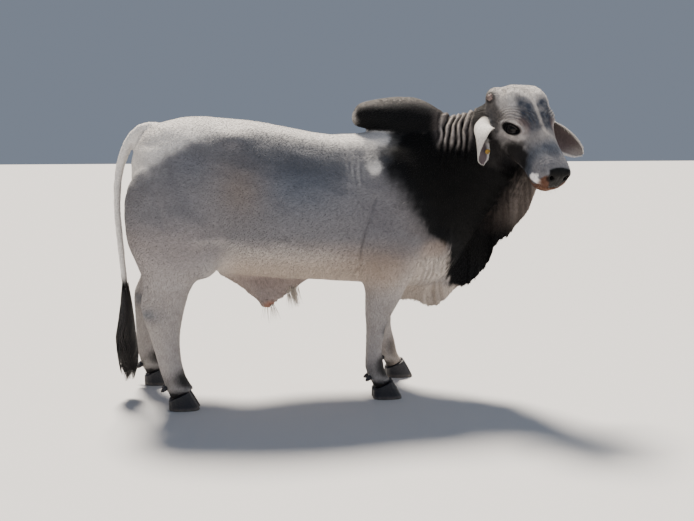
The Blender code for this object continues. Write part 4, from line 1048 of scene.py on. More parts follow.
def headColours(co, base):
    h, folded = foldedHead(co)
    a, b, c = folded.T
    mottle = softNoise(h, 0.05, 31) + 0.5 * softNoise(h, 0.022, 32)
    slate = ramp(a + 0.6 * (b - 0.05), 0.08, 0.15) * fall(a, 0.26, 0.36)
    slate *= within(b, 0.003, 0.016, 0.078, 0.112)
    across, down = (a - 0.335) * 0.9 + (c + 0.135) * 0.43, (c + 0.135) * 0.9 - (a - 0.335) * 0.43
    cheek = fall(np.hypot(across / 0.098, down / 0.076) + 0.16 * mottle, 0.62, 1.36)
    jaw = fall(c + 0.25 * (a - 0.2) + 0.004 * mottle, -0.175, -0.125) * fall(a, 0.39, 0.46)
    tone = painted(
        np.tile(colour("brow"), (len(co), 1)),
        # the muzzle's own blue-grey, darkened further with painted shade
        ("muzzle", 0.85 * ramp(a, 0.3, 0.42)),
        # the pale hair of the poll and upper forehead, brightened further with painted sunlight
        ("cream", (0.52 + 0.16 * mottle) * fall(a + 0.03 * mottle, 0.12, 0.24) * ramp(c, -0.06, 0.01)),
        ("slate", 0.9 * slate * (1 + 0.2 * mottle)),
        ("slate", 0.4 * bell(a, 0.3, 0.06) * bell(b, 0.03, 0.03) * ramp(c, -0.06, -0.02)),
        ("brow", 0.75 * bell(b, 0.0, 0.006) * within(a, 0.02, 0.06, 0.24, 0.3)),
        ("rose", 0.75 * patch(folded, (0.262, 0.092, -0.006), (0.05, 0.035, 0.04))),
        # painted highlight along the top of the muzzle
        ("ring", 0.22 * ramp(a, 0.42, 0.5) * ramp(c, -0.1, -0.06)),
        ("cheek", 0.96 * cheek * ramp(b, 0.05, 0.075)),
        ("cheek", 0.96 * jaw),
        ("throat", 0.85 * jaw * ramp(a, 0.28, 0.37) * fall(c, -0.16, -0.13)),
        # painted shade in the groove behind the eye, under the ear
        ("root", 0.68 * ramp(b, 0.115, 0.135) * fall(a, 0.13, 0.19) * fall(c, -0.06, -0.02)),
    )
    tone = eyeColours(tone, co, mottle)
    fleck = ramp(softNoise(h, 0.011, 33) * softNoise(h, 0.017, 34), 0.42, 0.62)
    ragged = apart(folded, (0.521, 0.088, -0.096), (0.036, 0.036, 0.028)) + 0.42 * mottle
    buds = [apart(co, middleOf("horn_bud_" + side)) for side in ("right", "left")]
    tone = painted(
        tone,
        ("slate", 0.85 * fleck * within(a, 0.2, 0.26, 0.5, 0.53) * ramp(c, -0.05, 0.0)),
        # a painted spot of sunlight on the near upper lip
        ("patch", (h[:, 1] < 0) * fall(ragged, 0.8, 1.0)),
        *(("cheek", 0.75 * fall(away, 0.026, 0.036)) for away in buds),
    )
    chin = fall(c - 0.1 * (a - 0.5) + 0.004 * mottle, -0.126, -0.117)
    chin *= ramp(a, 0.425, 0.47) * fall(b, 0.072, 0.084) * ramp(c, -0.225, -0.195)
    lipTop = -0.092 + 0.042 * ramp(a, 0.535, 0.555)
    fromNostril = apart(folded, headForms["nostril"])
    tone = painted(
        mottled(tone, mottle, 0.06),
        ("chin", 0.92 * chin),
        ("chin", 0.88 * ramp(a - 0.1 * b, 0.524, 0.54) * fall(c, lipTop, lipTop + 0.014)),
        ("nose", 0.55 * bell(c, -0.119, 0.004) * ramp(a, 0.44, 0.48)),
        ("nose", padShare(h)),
        ("nose", 0.9 * fall(fromNostril, 0.022, 0.034)),
    )
    under = np.interp(a, (0.0, 0.25, 0.42, 0.5), (-0.3, -0.29, -0.24, -0.22))
    mine = headShare(co) * ramp(c, under - 0.02, under + 0.02)
    return base + (tone - base) * mine[:, None]


def nearestOf(co, points):  # number of and distance to the nearest of these points
    tree = KDTree(len(points))
    for i, spot in enumerate(points):
        tree.insert(spot, i)
    tree.balance()
    found = [tree.find(spot) for spot in co]
    return np.array([f[1] for f in found]), np.array([f[2] for f in found])


def earColours(co, base, onEar, earFacts):
    share, place, half = earFacts.T
    tone = base
    # on the back of the ear, painted shade near its root
    back = painted(base, ("ear", 1.0), ("foldGrey", 0.35 * fall(share, 0.05, 0.3)),
                   ("band", 0.55 * ramp(share + 0.15 * place, 0.3, 0.75)))
    # inside the ears: painted shade in their cups, lighter towards the tips and pale on the rims
    inside = {
        -1: (("earTip", 0.95 * ramp(share - 0.1 * place, 0.48, 0.68)),),
        1: (("earFar", 0.95 * ramp(share, 0.15, 0.45)), ("earTip", 0.5 * ramp(place, -0.2, 0.6)),
            ("band", 0.45 * ramp(share + 0.12 * place, 0.7, 0.95))),
    }
    for side, layers in inside.items():
        front = painted(base, ("earDeep", 1.0), *layers, ("ear", 0.85 * ramp(np.abs(place), 0.72, 0.92)))
        both = back + (front - back) * ramp(-half, -0.1, 0.1)[:, None]
        mine = onEar * (headPlaces(co)[:, 1] * side > 0)
        tone = tone + (both - tone) * mine[:, None]
    return tone


def regionTile(co, region):  # each part of the body unrolled on its own square
    p = measured(co)
    x, y, z = p.T
    h = headPlaces(co)

    def around(across, up):
        return np.arctan2(across, up) / (2 * math.pi) + 0.5

    u, v = (x + 1.0) / 2.6, around(y, z - 1.02)
    for number, name in enumerate(skinSpec["nodes"]):
        mine = region == number
        if name in legNodes and mine.any():
            below = mine & (z < 0.5)
            middle = np.median(p[below], axis=0) if below.any() else p[mine][0]
            u[mine], v[mine] = z[mine], around(y - middle[1], x - middle[0])[mine]
        elif name == "head":
            u[mine], v[mine] = h[mine, 0] + 0.2, around(h[:, 1], h[:, 2] + 0.08)[mine]
        elif name in tailNodes:
            u[mine], v[mine] = z[mine] / 1.6, around(y, x + 0.81)[mine]
        elif name == "dewlap":
            u[mine], v[mine] = ((x - 0.5) + 0.3 * (y < 0))[mine], 0.8 * z[mine] - 0.3
        elif name == "hump":
            v[mine] = around(y, z - 1.45)[mine]
    columns = 4
    u = (np.clip(u, 0, 1) * 0.96 + 0.02 + region % columns) / columns
    v = (np.clip(v, 0, 1) * 0.96 + 0.02 + region // columns) / columns
    return np.column_stack((u, v))


def hairDirection(co, normal, region, onEar):  # the way the hair lies, along the skin
    x, _, z = measured(co).T
    h = headPlaces(co)
    none = 0 * x
    way = np.column_stack((none - 1, none, -0.3 - 0.5 * ramp(z, 1.3, 0.7)))
    for aim, share in (((-0.15, 0.0, -1.0), fall(z, 0.62, 0.86)), ((-0.35, 0.0, -1.0), ramp(x, 0.6, 0.85)),
                       ((-1.0, 0.0, -0.25), among(region, "hump"))):
        way = way + (np.array(aim) - way) * share[:, None]
    tail = among(region, *tailNodes)[:, None]
    way = np.where(tail, np.column_stack((-0.2 - 0.8 * (z > 1.3), none, none - 1)), way)
    face = (h - (0.15, 0.0, 0.03)) * (1.0, 0.55, 0.55)  # away from the whorl on the forehead
    face[:, 0] += 0.06 * ramp(h[:, 0], 0.15, 0.25)
    way = way + (unit(face) @ headAxes - way) * headShare(co)[:, None]
    for side in (-1, 1):
        mine = (onEar * (h[:, 1] * side > 0))[:, None]
        way = way + (unit(earSpec[side][0]) - way) * mine
    return unit(way - normal * (way * normal).sum(axis=1, keepdims=True))


def dressSkin(mesh, ears):  # stores what the hide's material and its coat read
    co, normal = pointsOf(mesh), normalsOf(mesh)
    p = measured(co)
    onFace = headShare(co)
    region = regionOf(co, skinSpec["nodes"])
    points, facts = (np.vstack(rows) for rows in zip(*ears))
    place, away = nearestOf(co, points)
    earFacts = facts[place]
    onEar = fall(away, 0.004, 0.012) * ramp(earFacts[:, 0], -0.02, 0.1)
    tone = earColours(co, headColours(co, bodyColours(co, normal, region)), onEar, earFacts)
    storeTone(mesh, np.clip(spread(tone, edgesOf(mesh), 1, 0.35), 0.002, 1))
    rimmed = np.zeros(len(co))
    for side in (-1, 1):
        _, length, up = eyePlaces(co, side).T
        rimmed = np.maximum(rimmed, fall(np.hypot(length / 0.036, up / 0.026), 0.9, 1.1))
    wet = np.maximum(0.55 * padShare(headPlaces(co)), 0.45 * rimmed) * onFace
    sheathTip = among(region, "sheath") * fall(p[:, 2], 0.46, 0.5)
    bare = np.clip(1.8 * wet + sheathTip + 0.6 * onEar * (earFacts[:, 2] < 0), 0, 1)
    upright = np.maximum(fall(p[:, 2], 0.6, 0.8), ramp(p[:, 0], 0.6, 0.8)) * (1 - onFace)
    for name, share in (("wet", wet), ("bare", bare), ("upright", upright), ("facial", onFace)):
        store(mesh, name, "FLOAT", share)
    store(mesh, "lie", "FLOAT_VECTOR", hairDirection(co, normal, region, onEar))
    return region, onEar, earFacts, bare


hideSpec = {
    "grizzle": (0.0045, 0.016),  # metres across and along a lock; real hairs are too fine to show
    "lies": {"level": (0.0, 0.3, 0.0), "upright": (0.0, math.pi / 2, 0.0),
             "facial": (0.0, headSpec["drop"], -headSpec["turn"])},
    "mottle": 0.022,
    "bump": 0.0016,
    "pebble": 0.005,  # the nose pad's small swellings
}


def hideMaterial():
    # Short cattle hair over loose hide: matt, faintly silky at the edges, each small lock a little
    # lighter or darker than the next. The nose pad and lid rims are bare, wet and pebbled.
    material, add = newMaterial("short cattle hair over loose hide", Sheen_Weight=0.03, Sheen_Roughness=0.45,
                                IOR=1.45, Specular_IOR_Level=0.12)
    place = add("TexCoord")["Object"]
    stored = {name: add("Attribute", attribute_name=name)
              for name in ("coat", "wet", "bare", "upright", "facial")}
    across, along = hideSpec["grizzle"]
    grain = None
    for name, turn in hideSpec["lies"].items():
        mapping = add("Mapping", {"Rotation": turn, "Scale": (along, across, across), "Vector": place},
                      vector_type="TEXTURE")
        noise = add("TexNoise", {"Scale": 1.0, "Detail": 3.0, "Roughness": 0.6, "Vector": mapping["Vector"]})
        if grain is None:
            grain = noise["Fac"]
        else:
            grain = add("Mix", {0: stored[name]["Fac"], 2: grain, 3: noise["Fac"]}, data_type="FLOAT")[0]
    mottle = add("TexNoise", {"Scale": 1 / hideSpec["mottle"], "Detail": 2.0, "Vector": place})
    light = add("MapRange", {"From Min": 0.28, "From Max": 0.72, "To Min": 0.74, "To Max": 1.22,
                             "Value": grain})
    broad = add("MapRange", {"From Min": 0.3, "From Max": 0.7, "To Min": 0.92, "To Max": 1.07,
                             "Value": mottle["Fac"]})
    both = add("Math", {0: light[0], 1: broad[0]}, operation="MULTIPLY")
    tinted = add("VectorMath", {0: stored["coat"]["Color"], "Scale": both[0]}, operation="SCALE")
    pebbles = add("TexVoronoi", {"Scale": 1 / hideSpec["pebble"], "Vector": place})
    relief = add("Mix", {0: stored["bare"]["Fac"], 2: grain, 3: pebbles["Distance"]}, data_type="FLOAT")
    bump = add("Bump", {"Strength": 0.75, "Distance": hideSpec["bump"], "Height": relief[0]})
    gloss = add("MapRange", {"To Min": 0.72, "To Max": 0.3, "Value": stored["wet"]["Fac"]})
    return shaded(material, Base_Color=tinted[0], Roughness=gloss[0], Normal=bump["Normal"])


region, onEar, earFacts, bareShare = dressSkin(skin.data, ears)
settle(skin, "pale_hide", hideMaterial(), *skinSpec["nodes"], "ear_right", "ear_left")
print("skin dressed")

# Eyes: near black with a faint brown iris and a level oval pupil under a clear wet front
irisSpec = {
    "iris": 0.0155,
    "pupil": (0.0095, 0.0052),
    "colours": ("#010102", "#080504", "#0d0907"),  # pupil, iris, white
    "cornea": 0.0022,  # how far it stands out of the ball
    "lidWidth": 0.0034,
    "lidSteps": (72, 10),  # around the opening, around the roll
}


def makeEye(side, finish):
    node = "eye_right" if side < 0 else "eye_left"
    mesh = ballMesh(node + "_ball", 64, 40)
    local = pointsOf(mesh)[:, (2, 0, 1)]  # the sphere's pole looks out
    away = np.hypot(local[:, 1], local[:, 2]) * eyeSpec["ball"]
    front = local[:, 0] > 0
    bulge = irisSpec["cornea"] * fall(away, 0.004, irisSpec["iris"] + 0.003) * front
    shaped = local * (eyeSpec["ball"] + bulge)[:, None] - (eyeSpec["sunk"], 0, 0)
    setPoints(mesh, shaped @ eyeDirections(side) + onHead(eyeSpec["place"], side))
    pupil, iris, white = (linear(c) for c in irisSpec["colours"])
    inPupil = fall(np.hypot(*(shaped[:, 1:] / irisSpec["pupil"]).T), 0.85, 1.1)
    inIris = fall(away, irisSpec["iris"] - 0.002, irisSpec["iris"] + 0.001)
    streak = 0.8 + 0.4 * np.sin(23 * np.arctan2(shaped[:, 1], shaped[:, 2]) + 2.0)
    tone = white + (iris * streak[:, None] - white) * (inIris * front)[:, None]
    storeTone(mesh, tone + (pupil - tone) * (inPupil * front)[:, None])
    reshaped(mesh, facingOut)
    settle(placed(node + "_ball", mesh), "eye", finish, node)


def lidEdge(angle):  # how far out, along and above the eye's centre the opening's edge lies
    a, b = eyeSpec["opening"]
    length, up = a * math.cos(angle), b * math.sin(angle)
    for _ in range(8):
        r = float(almond(length, up))
        length, up = length / r, up / r
    return math.sqrt(max(eyeSpec["ball"] ** 2 - length ** 2 - up ** 2, 1e-6)) - eyeSpec["sunk"], length, up


def lidRim(side, finish):  # a moist dark roll of skin that closes the lids on the ball
    a, b = eyeSpec["opening"]
    steps, sides = irisSpec["lidSteps"]
    points = []
    for i in range(steps):
        ball, length, up = lidEdge(2 * math.pi * i / steps)
        outward = unit(np.array((0.0, length * b / a, up * a / b)))
        width = irisSpec["lidWidth"] * (1.0 if up > 0 else 0.85)
        for turn in np.arange(sides) * 2 * math.pi / sides:
            roll = outward * math.cos(turn) + np.array((0.75 * math.sin(turn), 0, 0))
            points.append((ball + 0.0004, length, up) + width * roll)
    points = np.array(points) @ eyeDirections(side) + onHead(eyeSpec["place"], side)
    obj = meshOf("eyelid_rim_" + ("right" if side < 0 else "left"), points, tubeFaces(steps, sides, True))
    reshaped(obj.data, facingOut)
    settle(obj, "bare_skin", finish)


def rimMaterial():
    # Moist black skin of the lid rims: fine wrinkles and a soft wet shine
    material, add = newMaterial("moist black lid skin", Roughness=0.34, IOR=1.42)
    wrinkles = add("TexNoise", {"Scale": 700.0, "Detail": 3.0, "Vector": add("TexCoord")["Object"]})["Fac"]
    tone = add("Mix", {0: wrinkles, 6: opaque("#0b090a"), 7: opaque("#241d1d")}, data_type="RGBA")
    bump = add("Bump", {"Strength": 0.5, "Distance": 0.0006, "Height": wrinkles})
    return shaded(material, Base_Color=tone[2], Normal=bump["Normal"])


# A living eyeball under its tear film: almost black, with one sharp highlight
wetEye = unevenTone("wet eyeball", 900.0, 0.3, (0.0, 1.0), Roughness=0.3, IOR=1.34, Coat_Weight=0.15,
                    Coat_Roughness=0.03, Specular_IOR_Level=0.25)
lidSkin = rimMaterial()
for side in (-1, 1):
    makeEye(side, wetEye)
    lidRim(side, lidSkin)
print("eyes and lid rims made")

# Claws, dewclaws and horn buds: their solids cast again, finer and rounder, with the horn's own rings
hornSpec = {
    "claw": {"voxel": 0.0013, "relax": 7, "triangles": 9000, "ring": 0.0085,
             "height": 0.0005, "rough": 0.0004},
    "dewclaw": {"voxel": 0.0011, "relax": 5, "triangles": 3200, "ring": 0.0055,
                "height": 0.0003, "rough": 0.0004},
    "bud": {"voxel": 0.0011, "relax": 4, "triangles": 6000, "ring": 0.0065,
            "height": 0.0009, "rough": 0.0016},
    "coarser": 1.0,
    "slope": 0.3,  # how much the claws' rings drop from toe to heel
    "toe": 0.13,  # how much further the toe reaches forward for each metre down
}


def recast(node, kind, slot, finish):
    spec = hornSpec[kind]
    obj = merged(node + "_horn", (node,))
    modified(obj, "REMESH", mode="VOXEL", voxel_size=spec["voxel"] * hornSpec["coarser"])
    mesh = obj.data
    setPoints(mesh, spread(pointsOf(mesh), edgesOf(mesh), spec["relax"]))
    co, normal = pointsOf(mesh), normalsOf(mesh)
    height = headPlaces(co)[:, 1] if kind == "bud" else co[:, 2] - hornSpec["slope"] * co[:, 0]
    ring = ripple(height + 0.0012 * softNoise(co, 0.03, 41), spec["ring"])
    wall = fall(np.abs(normal[:, 2]), 0.75, 0.95)
    rise = spec["height"] * wall * (ring - 0.4 * np.abs(ring)) + spec["rough"] * softNoise(co, 0.008, 42)
    co = co + normal * rise[:, None]
    if kind == "claw":  # the toe slopes forward and the sole stays on the ground
        middle = (co[:, 0].min() + co[:, 0].max()) / 2
        co[:, 0] += hornSpec["toe"] * (0.085 - co[:, 2]) * ramp(co[:, 0], middle - 0.01, middle + 0.05)
        co[:, 2] = np.maximum(co[:, 2], 0.0)
    setPoints(mesh, co)
    modified(obj, "DECIMATE", ratio=min(1.0, spec["triangles"] / (2 * len(mesh.polygons))))
    settle(obj, slot, finish, node)


clawSpec = {
    "colours": ("#17171a", "#39353a", "#8a8073"),  # horn, its paler streaks, dust near the ground
    "streak": (0.0011, 0.03),  # metres across and along
    "dusty": (0.004, 0.022),
}


def clawMaterial():
    # Hoof horn: hard, dark and dull like worn leather, streaked down the wall, dusty at the ground
    material, add = newMaterial("worn hoof horn", IOR=1.54, Specular_IOR_Level=0.45)
    place = add("TexCoord")["Object"]
    across, down = clawSpec["streak"]
    mapping = add("Mapping", {"Scale": (across, across, down), "Vector": place}, vector_type="TEXTURE")
    streak = add("TexNoise", {"Scale": 1.0, "Detail": 4.0, "Roughness": 0.6, "Vector": mapping["Vector"]})
    blotch = add("TexNoise", {"Scale": 55.0, "Detail": 3.0, "Vector": place})["Fac"]
    horn, pale, dust = (opaque(c) for c in clawSpec["colours"])
    broken = add("MapRange", {"From Min": 0.42, "From Max": 0.78, "Value": streak["Fac"]})
    wall = add("Mix", {0: broken[0], 6: horn, 7: pale}, data_type="RGBA")
    height = add("SeparateXYZ", {"Vector": place})["Z"]
    low, high = clawSpec["dusty"]
    ground = add("MapRange", {"From Min": low, "From Max": high, "To Min": 0.85, "To Max": 0.0,
                              "Value": height})
    dirty = add("Math", {0: ground[0], 1: blotch}, operation="MULTIPLY")
    tone = add("Mix", {0: dirty[0], 6: wall[2], 7: dust}, data_type="RGBA")
    gloss = add("MapRange", {"To Min": 0.36, "To Max": 0.62, "Value": blotch})
    bump = add("Bump", {"Strength": 0.5, "Distance": 0.0006, "Height": streak["Fac"]})
    return shaded(material, Base_Color=tone[2], Roughness=gloss[0], Normal=bump["Normal"])


def budMaterial():
    # The scar of a removed horn: dry flaking pinkish brown horn with dark cracks
    material, add = newMaterial("flaking horn scar", IOR=1.54, Specular_IOR_Level=0.35, Roughness=0.66)
    place = add("TexCoord")["Object"]
    flakes = add("TexVoronoi", {"Scale": 210.0, "Vector": place})
    fine = add("TexNoise", {"Scale": 420.0, "Detail": 4.0, "Vector": place})
    mixed = add("Math", {0: flakes["Distance"], 1: fine["Fac"]}, operation="MULTIPLY")[0]
    share = add("MapRange", {"From Min": 0.05, "From Max": 0.32, "Value": mixed})
    tone = add("Mix", {0: share[0], 6: opaque("#3b2f2d"), 7: opaque("#93807a")}, data_type="RGBA")
    bump = add("Bump", {"Strength": 0.8, "Distance": 0.0012, "Height": mixed})
    return shaded(material, Base_Color=tone[2], Normal=bump["Normal"])


clawHorn, scarHorn = clawMaterial(), budMaterial()
for foot in ("fore_right", "fore_left", "hind_right", "hind_left"):
    for claw in ("inner", "outer"):
        recast("hoof_" + foot + "_" + claw, "claw", "hoof_horn", clawHorn)
        recast("dewclaw_" + foot + "_" + claw, "dewclaw", "hoof_horn", clawHorn)
for side in ("right", "left"):
    recast("horn_bud_" + side, "bud", "bud_horn", scarHorn)
print("claws and horn buds cast")

# The ear tag keeps its moulded edges rounded
tagSpec = {"edge": 0.0009, "colours": ("#a8842e", "#6f5526"), "speckle": 900.0}


def tagMaterial():
    # Soft moulded polyurethane: waxy yellow, a little sweated and dusty, with fine moulding grain
    material, add = newMaterial("moulded yellow polyurethane", IOR=1.49, Subsurface_Weight=0.08,
                                Subsurface_Scale=0.002)
    place = add("TexCoord")["Object"]
    dust = add("TexNoise", {"Scale": 160.0, "Detail": 4.0, "Vector": place})["Fac"]
    grain = add("TexNoise", {"Scale": tagSpec["speckle"], "Vector": place})
    fresh, stained = (opaque(c) for c in tagSpec["colours"])
    share = add("MapRange", {"From Min": 0.45, "From Max": 0.75, "Value": dust})
    tone = add("Mix", {0: share[0], 6: fresh, 7: stained}, data_type="RGBA")
    gloss = add("MapRange", {"To Min": 0.34, "To Max": 0.6, "Value": dust})
    bump = add("Bump", {"Strength": 0.25, "Distance": 0.0003, "Height": grain["Fac"]})
    return shaded(material, Base_Color=tone[2], Roughness=gloss[0], Normal=bump["Normal"])


tag = merged("ear_tag_moulded", ("ear_tag",))
modified(tag, "BEVEL", width=tagSpec["edge"], segments=3, limit_method="ANGLE", angle_limit=math.radians(35))
settle(tag, "tag_plastic", tagMaterial(), "ear_tag")
print("ear tag made")

# The coat: flat tufts of short hair on every side, longer and closer where the hair breaks the outline
coatSpec = {
    "tufts": {"right": 19000, "left": 19000, "front": 19300, "legs": 19000, "head": 18500, "rear": 14000},
    "fewer": 1.0,
    "widthShare": 0.2,  # of a tuft's length
    "thickShare": 0.08,
    "rise": 0.1,  # radians off the skin
    "scatter": 0.26,  # radians to either side
    "seed": 51,
    "bakePatch": 0.003,  # how much of the bake map one tuft takes
}


def makeTuft():  # one metre long, wide and thick, scaled where it grows
    points = [(0, -0.35, -0.5), (0, 0.35, -0.5), (0, 0, 0.3), (0.5, -0.5, 0.3), (0.5, 0.5, 0.3),
              (0.5, 0, 1.2), (1.0, 0, 0.1)]
    faces = [(0, 1, 2), (0, 3, 4, 1), (1, 4, 5, 2), (2, 5, 3, 0), (3, 6, 4), (4, 6, 5), (5, 6, 3)]
    tuft = meshOf("tuft", points, faces)
    reshaped(tuft.data, facingOut)
    store(tuft.data, "local", "FLOAT_VECTOR", [(x, y + 0.5, 0) for x, y, _ in points])
    return tuft


def newTree(name, result, sockets):  # the tree, what adds a node to it and what it is given
    tree = bpy.data.node_groups.new(name, "GeometryNodeTree")
    for socket, kind in sockets.items():
        tree.interface.new_socket(socket, in_out="INPUT", socket_type="NodeSocket" + kind)
    tree.interface.new_socket(result, in_out="OUTPUT", socket_type="NodeSocketGeometry")
    return tree, partial(addNode, tree), addNode(tree, "GroupInput")


def handOver(add, geometry, finish):  # a tree's result, with its instances made real
    real = add("RealizeInstances", {0: geometry})
    dressed = add("SetMaterial", {"Geometry": real[0], "Material": finish})
    add("GroupOutput", {0: dressed[0]})


def grow(obj, tree, finish, **inputs):  # turns the object into what a tree grows on it
    modifier = obj.modifiers.new("grow", "NODES")
    modifier.node_group = tree
    inputs["Finish"] = finish
    for socket in tree.interface.items_tree:
        key = socket.name.replace(" ", "_")
        if socket.in_out == "INPUT" and key in inputs:
            modifier[socket.identifier] = inputs[key]
    finished(obj)


def coatTree():
    tree, add, given = newTree("tufts on a skin", "Coat", {
        "Skin": "Geometry", "Tuft": "Object", "Where": "String", "Per Square Metre": "Float",
        "Width Share": "Float", "Thick Share": "Float", "Rise": "Float", "Scatter": "Float", "Seed": "Int",
        "Finish": "Material"})
    seed = given["Seed"]
    where = add("InputNamedAttribute", {"Name": given["Where"]}, data_type="FLOAT")
    dense = add("Math", {0: where[0], 1: given["Per Square Metre"]}, operation="MULTIPLY")
    roots = add("DistributePointsOnFaces", {"Mesh": given["Skin"], "Density": dense[0], "Seed": seed},
                distribute_method="RANDOM")
    kept = add("StoreNamedAttribute", {"Name": "root", "Geometry": roots["Points"],
                                       "Value": add("InputPosition")[0]}, data_type="FLOAT_VECTOR")
    lie = add("InputNamedAttribute", {"Name": "lie"}, data_type="FLOAT_VECTOR")
    flat = add("AxesToRotation", {0: roots["Normal"], 1: lie[0]}, primary_axis="Z", secondary_axis="X")
    oneWay = add("Math", {0: given["Scatter"], 1: -1.0}, operation="MULTIPLY")
    aside = add("RandomValue", {2: oneWay[0], 3: given["Scatter"], 8: seed}, data_type="FLOAT")
    lift = add("RandomValue", {2: -1.7, 3: -0.3, 8: seed}, data_type="FLOAT")
    raised = add("Math", {0: lift[1], 1: given["Rise"]}, operation="MULTIPLY")
    tilt = add("CombineXYZ", {"Y": raised[0], "Z": aside[1]})
    tilted = add("EulerToRotation", {0: tilt[0]})
    turned = add("RotateRotation", {0: flat[0], 1: tilted[0]}, rotation_space="LOCAL")
    hair = add("InputNamedAttribute", {"Name": "hairLength"}, data_type="FLOAT")
    vary = add("RandomValue", {2: 0.7, 3: 1.3, 8: seed}, data_type="FLOAT")
    long = add("Math", {0: hair[0], 1: vary[1]}, operation="MULTIPLY")
    wide, thick = (add("Math", {0: long[0], 1: given[share]}, operation="MULTIPLY")
                   for share in ("Width Share", "Thick Share"))
    size = add("CombineXYZ", {0: long[0], 1: wide[0], 2: thick[0]})
    shape = add("ObjectInfo", {"Object": given["Tuft"]})
    tufts = add("InstanceOnPoints", {"Points": kept[0], "Instance": shape["Geometry"],
                                     "Rotation": turned[0], "Scale": size[0]})
    handOver(add, tufts[0], given["Finish"])
    return tree


def coatPlan(mesh):  # stores how long the hair is; hands back where each piece of coat grows and how close
    co, normal = pointsOf(mesh), normalsOf(mesh)
    x, y, z = measured(co).T
    a, _, c = headPlaces(co).T
    behind, below = -normal[:, 0], -normal[:, 2]
    face = headShare(co)
    tail, hump, dewlap = among(region, *tailNodes), among(region, "hump"), among(region, "dewlap")
    legs = (z < 0.62) & (x < 0.8) & among(region, *legNodes)
    ear = (onEar > 0.5) & (earFacts[:, 0] > 0.05)
    earRim = ear * ramp(np.abs(earFacts[:, 1]), 0.8, 0.95)
    top = ramp(-below, 0.35, 0.85) * (z > 1.15)
    under = ramp(below, 0.1, 0.6) * (z < 1.0)
    thighBack = ramp(behind, 0.2, 0.7) * (x < -0.5)
    fetlock = bell(z, 0.15, 0.045) * ramp(behind, 0.1, 0.6)
    pollShare = fall(a, 0.02, 0.15) * ramp(c, -0.06, 0.0)
    jaw = fall(c, -0.22, -0.14)
    length = 0.0105 - 0.001 * top + 0.004 * under + 0.005 * thighBack + 0.002 * (hump | dewlap)
    close = 1.0 + 1.1 * top + 0.8 * under + 1.2 * thighBack + 0.6 * hump + 0.4 * dewlap
    for mine, long, dense in (  # each later part of the body over the ones before it
            (legs, 0.006 + 0.003 * ramp(z, 0.2, 0.5) + 0.009 * fetlock,
             1.0 + 1.2 * fetlock + 0.4 * ramp(behind, 0.2, 0.7)),
            (face, 0.0052 + 0.006 * pollShare + 0.003 * jaw, 1.0 + 0.9 * pollShare + 0.4 * jaw),
            (ear, 0.0065 + 0.0028 * earRim, 0.8 + 2.6 * earRim),
            (tail, 0.011, 1.5)):
        length = length + (long - length) * mine
        close = close + (dense - close) * mine
    store(mesh, "hairLength", "FLOAT", length)
    haired = np.maximum((1 - bareShare) * (z > bodySpec["hoofTop"]), earRim)
    close = close * ramp(haired, 0.3, 0.8)
    onHeadPart = (face > 0.5) | ear
    front = (hump | dewlap | among(region, "neck")) & ~onHeadPart
    rear = (tail | (x < -0.42)) & ~legs & ~onHeadPart
    rest = ~front & ~rear & ~legs & ~onHeadPart
    owner = {"right": rest & (y < 0), "left": rest & (y >= 0), "front": front, "legs": legs,
             "head": onHeadPart, "rear": rear}
    corners = columnOf(mesh.loop_triangles, "vertices", 3, np.int64)
    start, second, third = (co[corners[:, k]] for k in range(3))
    area = np.linalg.norm(np.cross(second - start, third - start), axis=1) / 2
    density = {}
    for name, mine in owner.items():
        where = close * mine
        store(mesh, "tufts_" + name, "FLOAT", where)
        count = coatSpec["tufts"][name] * coatSpec["fewer"]
        density[name] = count / (area * where[corners].mean(axis=1)).sum()
    return density


def bakeMap(mesh, each, local):  # each point's place on the skin's unwrap, and no attribute but the colour
    roots = numbersOf(mesh, "root", 3)[::each]
    spots = np.repeat(regionTile(roots, regionOf(roots, skinSpec["nodes"])), each, axis=0)
    spots = spots + local * coatSpec["bakePatch"]
    corners = columnOf(mesh.loops, "vertex_index", 1, np.int64)
    layer = mesh.uv_layers.new(name="OFBake")
    layer.data.foreach_set("uv", spots[corners].astype(np.float32).ravel())
    for name in [a.name for a in mesh.attributes if not a.is_internal and not a.is_required]:
        if name not in ("coat", "OFBake") and name in mesh.attributes:
            mesh.attributes.remove(mesh.attributes[name])


def growCoat(name, number, density, tree, tuft, finish):
    obj = placed("coat_" + name, skin.data.copy())
    seed = coatSpec["seed"] + number
    grow(obj, tree, finish, Tuft=tuft, Where="tufts_" + name, Per_Square_Metre=density, Seed=seed,
         Width_Share=coatSpec["widthShare"], Thick_Share=coatSpec["thickShare"], Rise=coatSpec["rise"],
         Scatter=coatSpec["scatter"])
    mesh = obj.data
    each = len(tuft.data.vertices)
    count = len(mesh.vertices) // each
    tone = numbersOf(mesh, "coat", 4)
    local = numbersOf(mesh, "local", 3)
    change = np.random.default_rng(seed).uniform(0.84, 1.16, count)
    change = np.repeat(change, each) * (0.9 + 0.16 * local[:, 0])  # the root darker than the tip
    tone[:, :3] = np.clip(tone[:, :3] * change[:, None], 0.002, 1)
    mesh.attributes["coat"].data.foreach_set("color", tone.ravel())
    bakeMap(mesh, each, local[:, :2])
    settle(obj, "pale_hide" if name != "front" else "dark_hide", finish)
    return count


tuft = makeTuft()
tuftsOn = coatTree()
# The same hair as the hide's, in single locks: matt with a silky edge, each lock a little uneven
lockHair = unevenTone("locks of cattle hair", 420.0, 0.14, Sheen_Weight=0.03, Sheen_Roughness=0.45,
                      IOR=1.5, Specular_IOR_Level=0.13, Roughness=0.62)
for number, (name, density) in enumerate(coatPlan(skin.data).items()):
    print("coat", name, "has", growCoat(name, number, float(density), tuftsOn, tuft, lockHair), "tufts")
bpy.data.objects.remove(tuft)

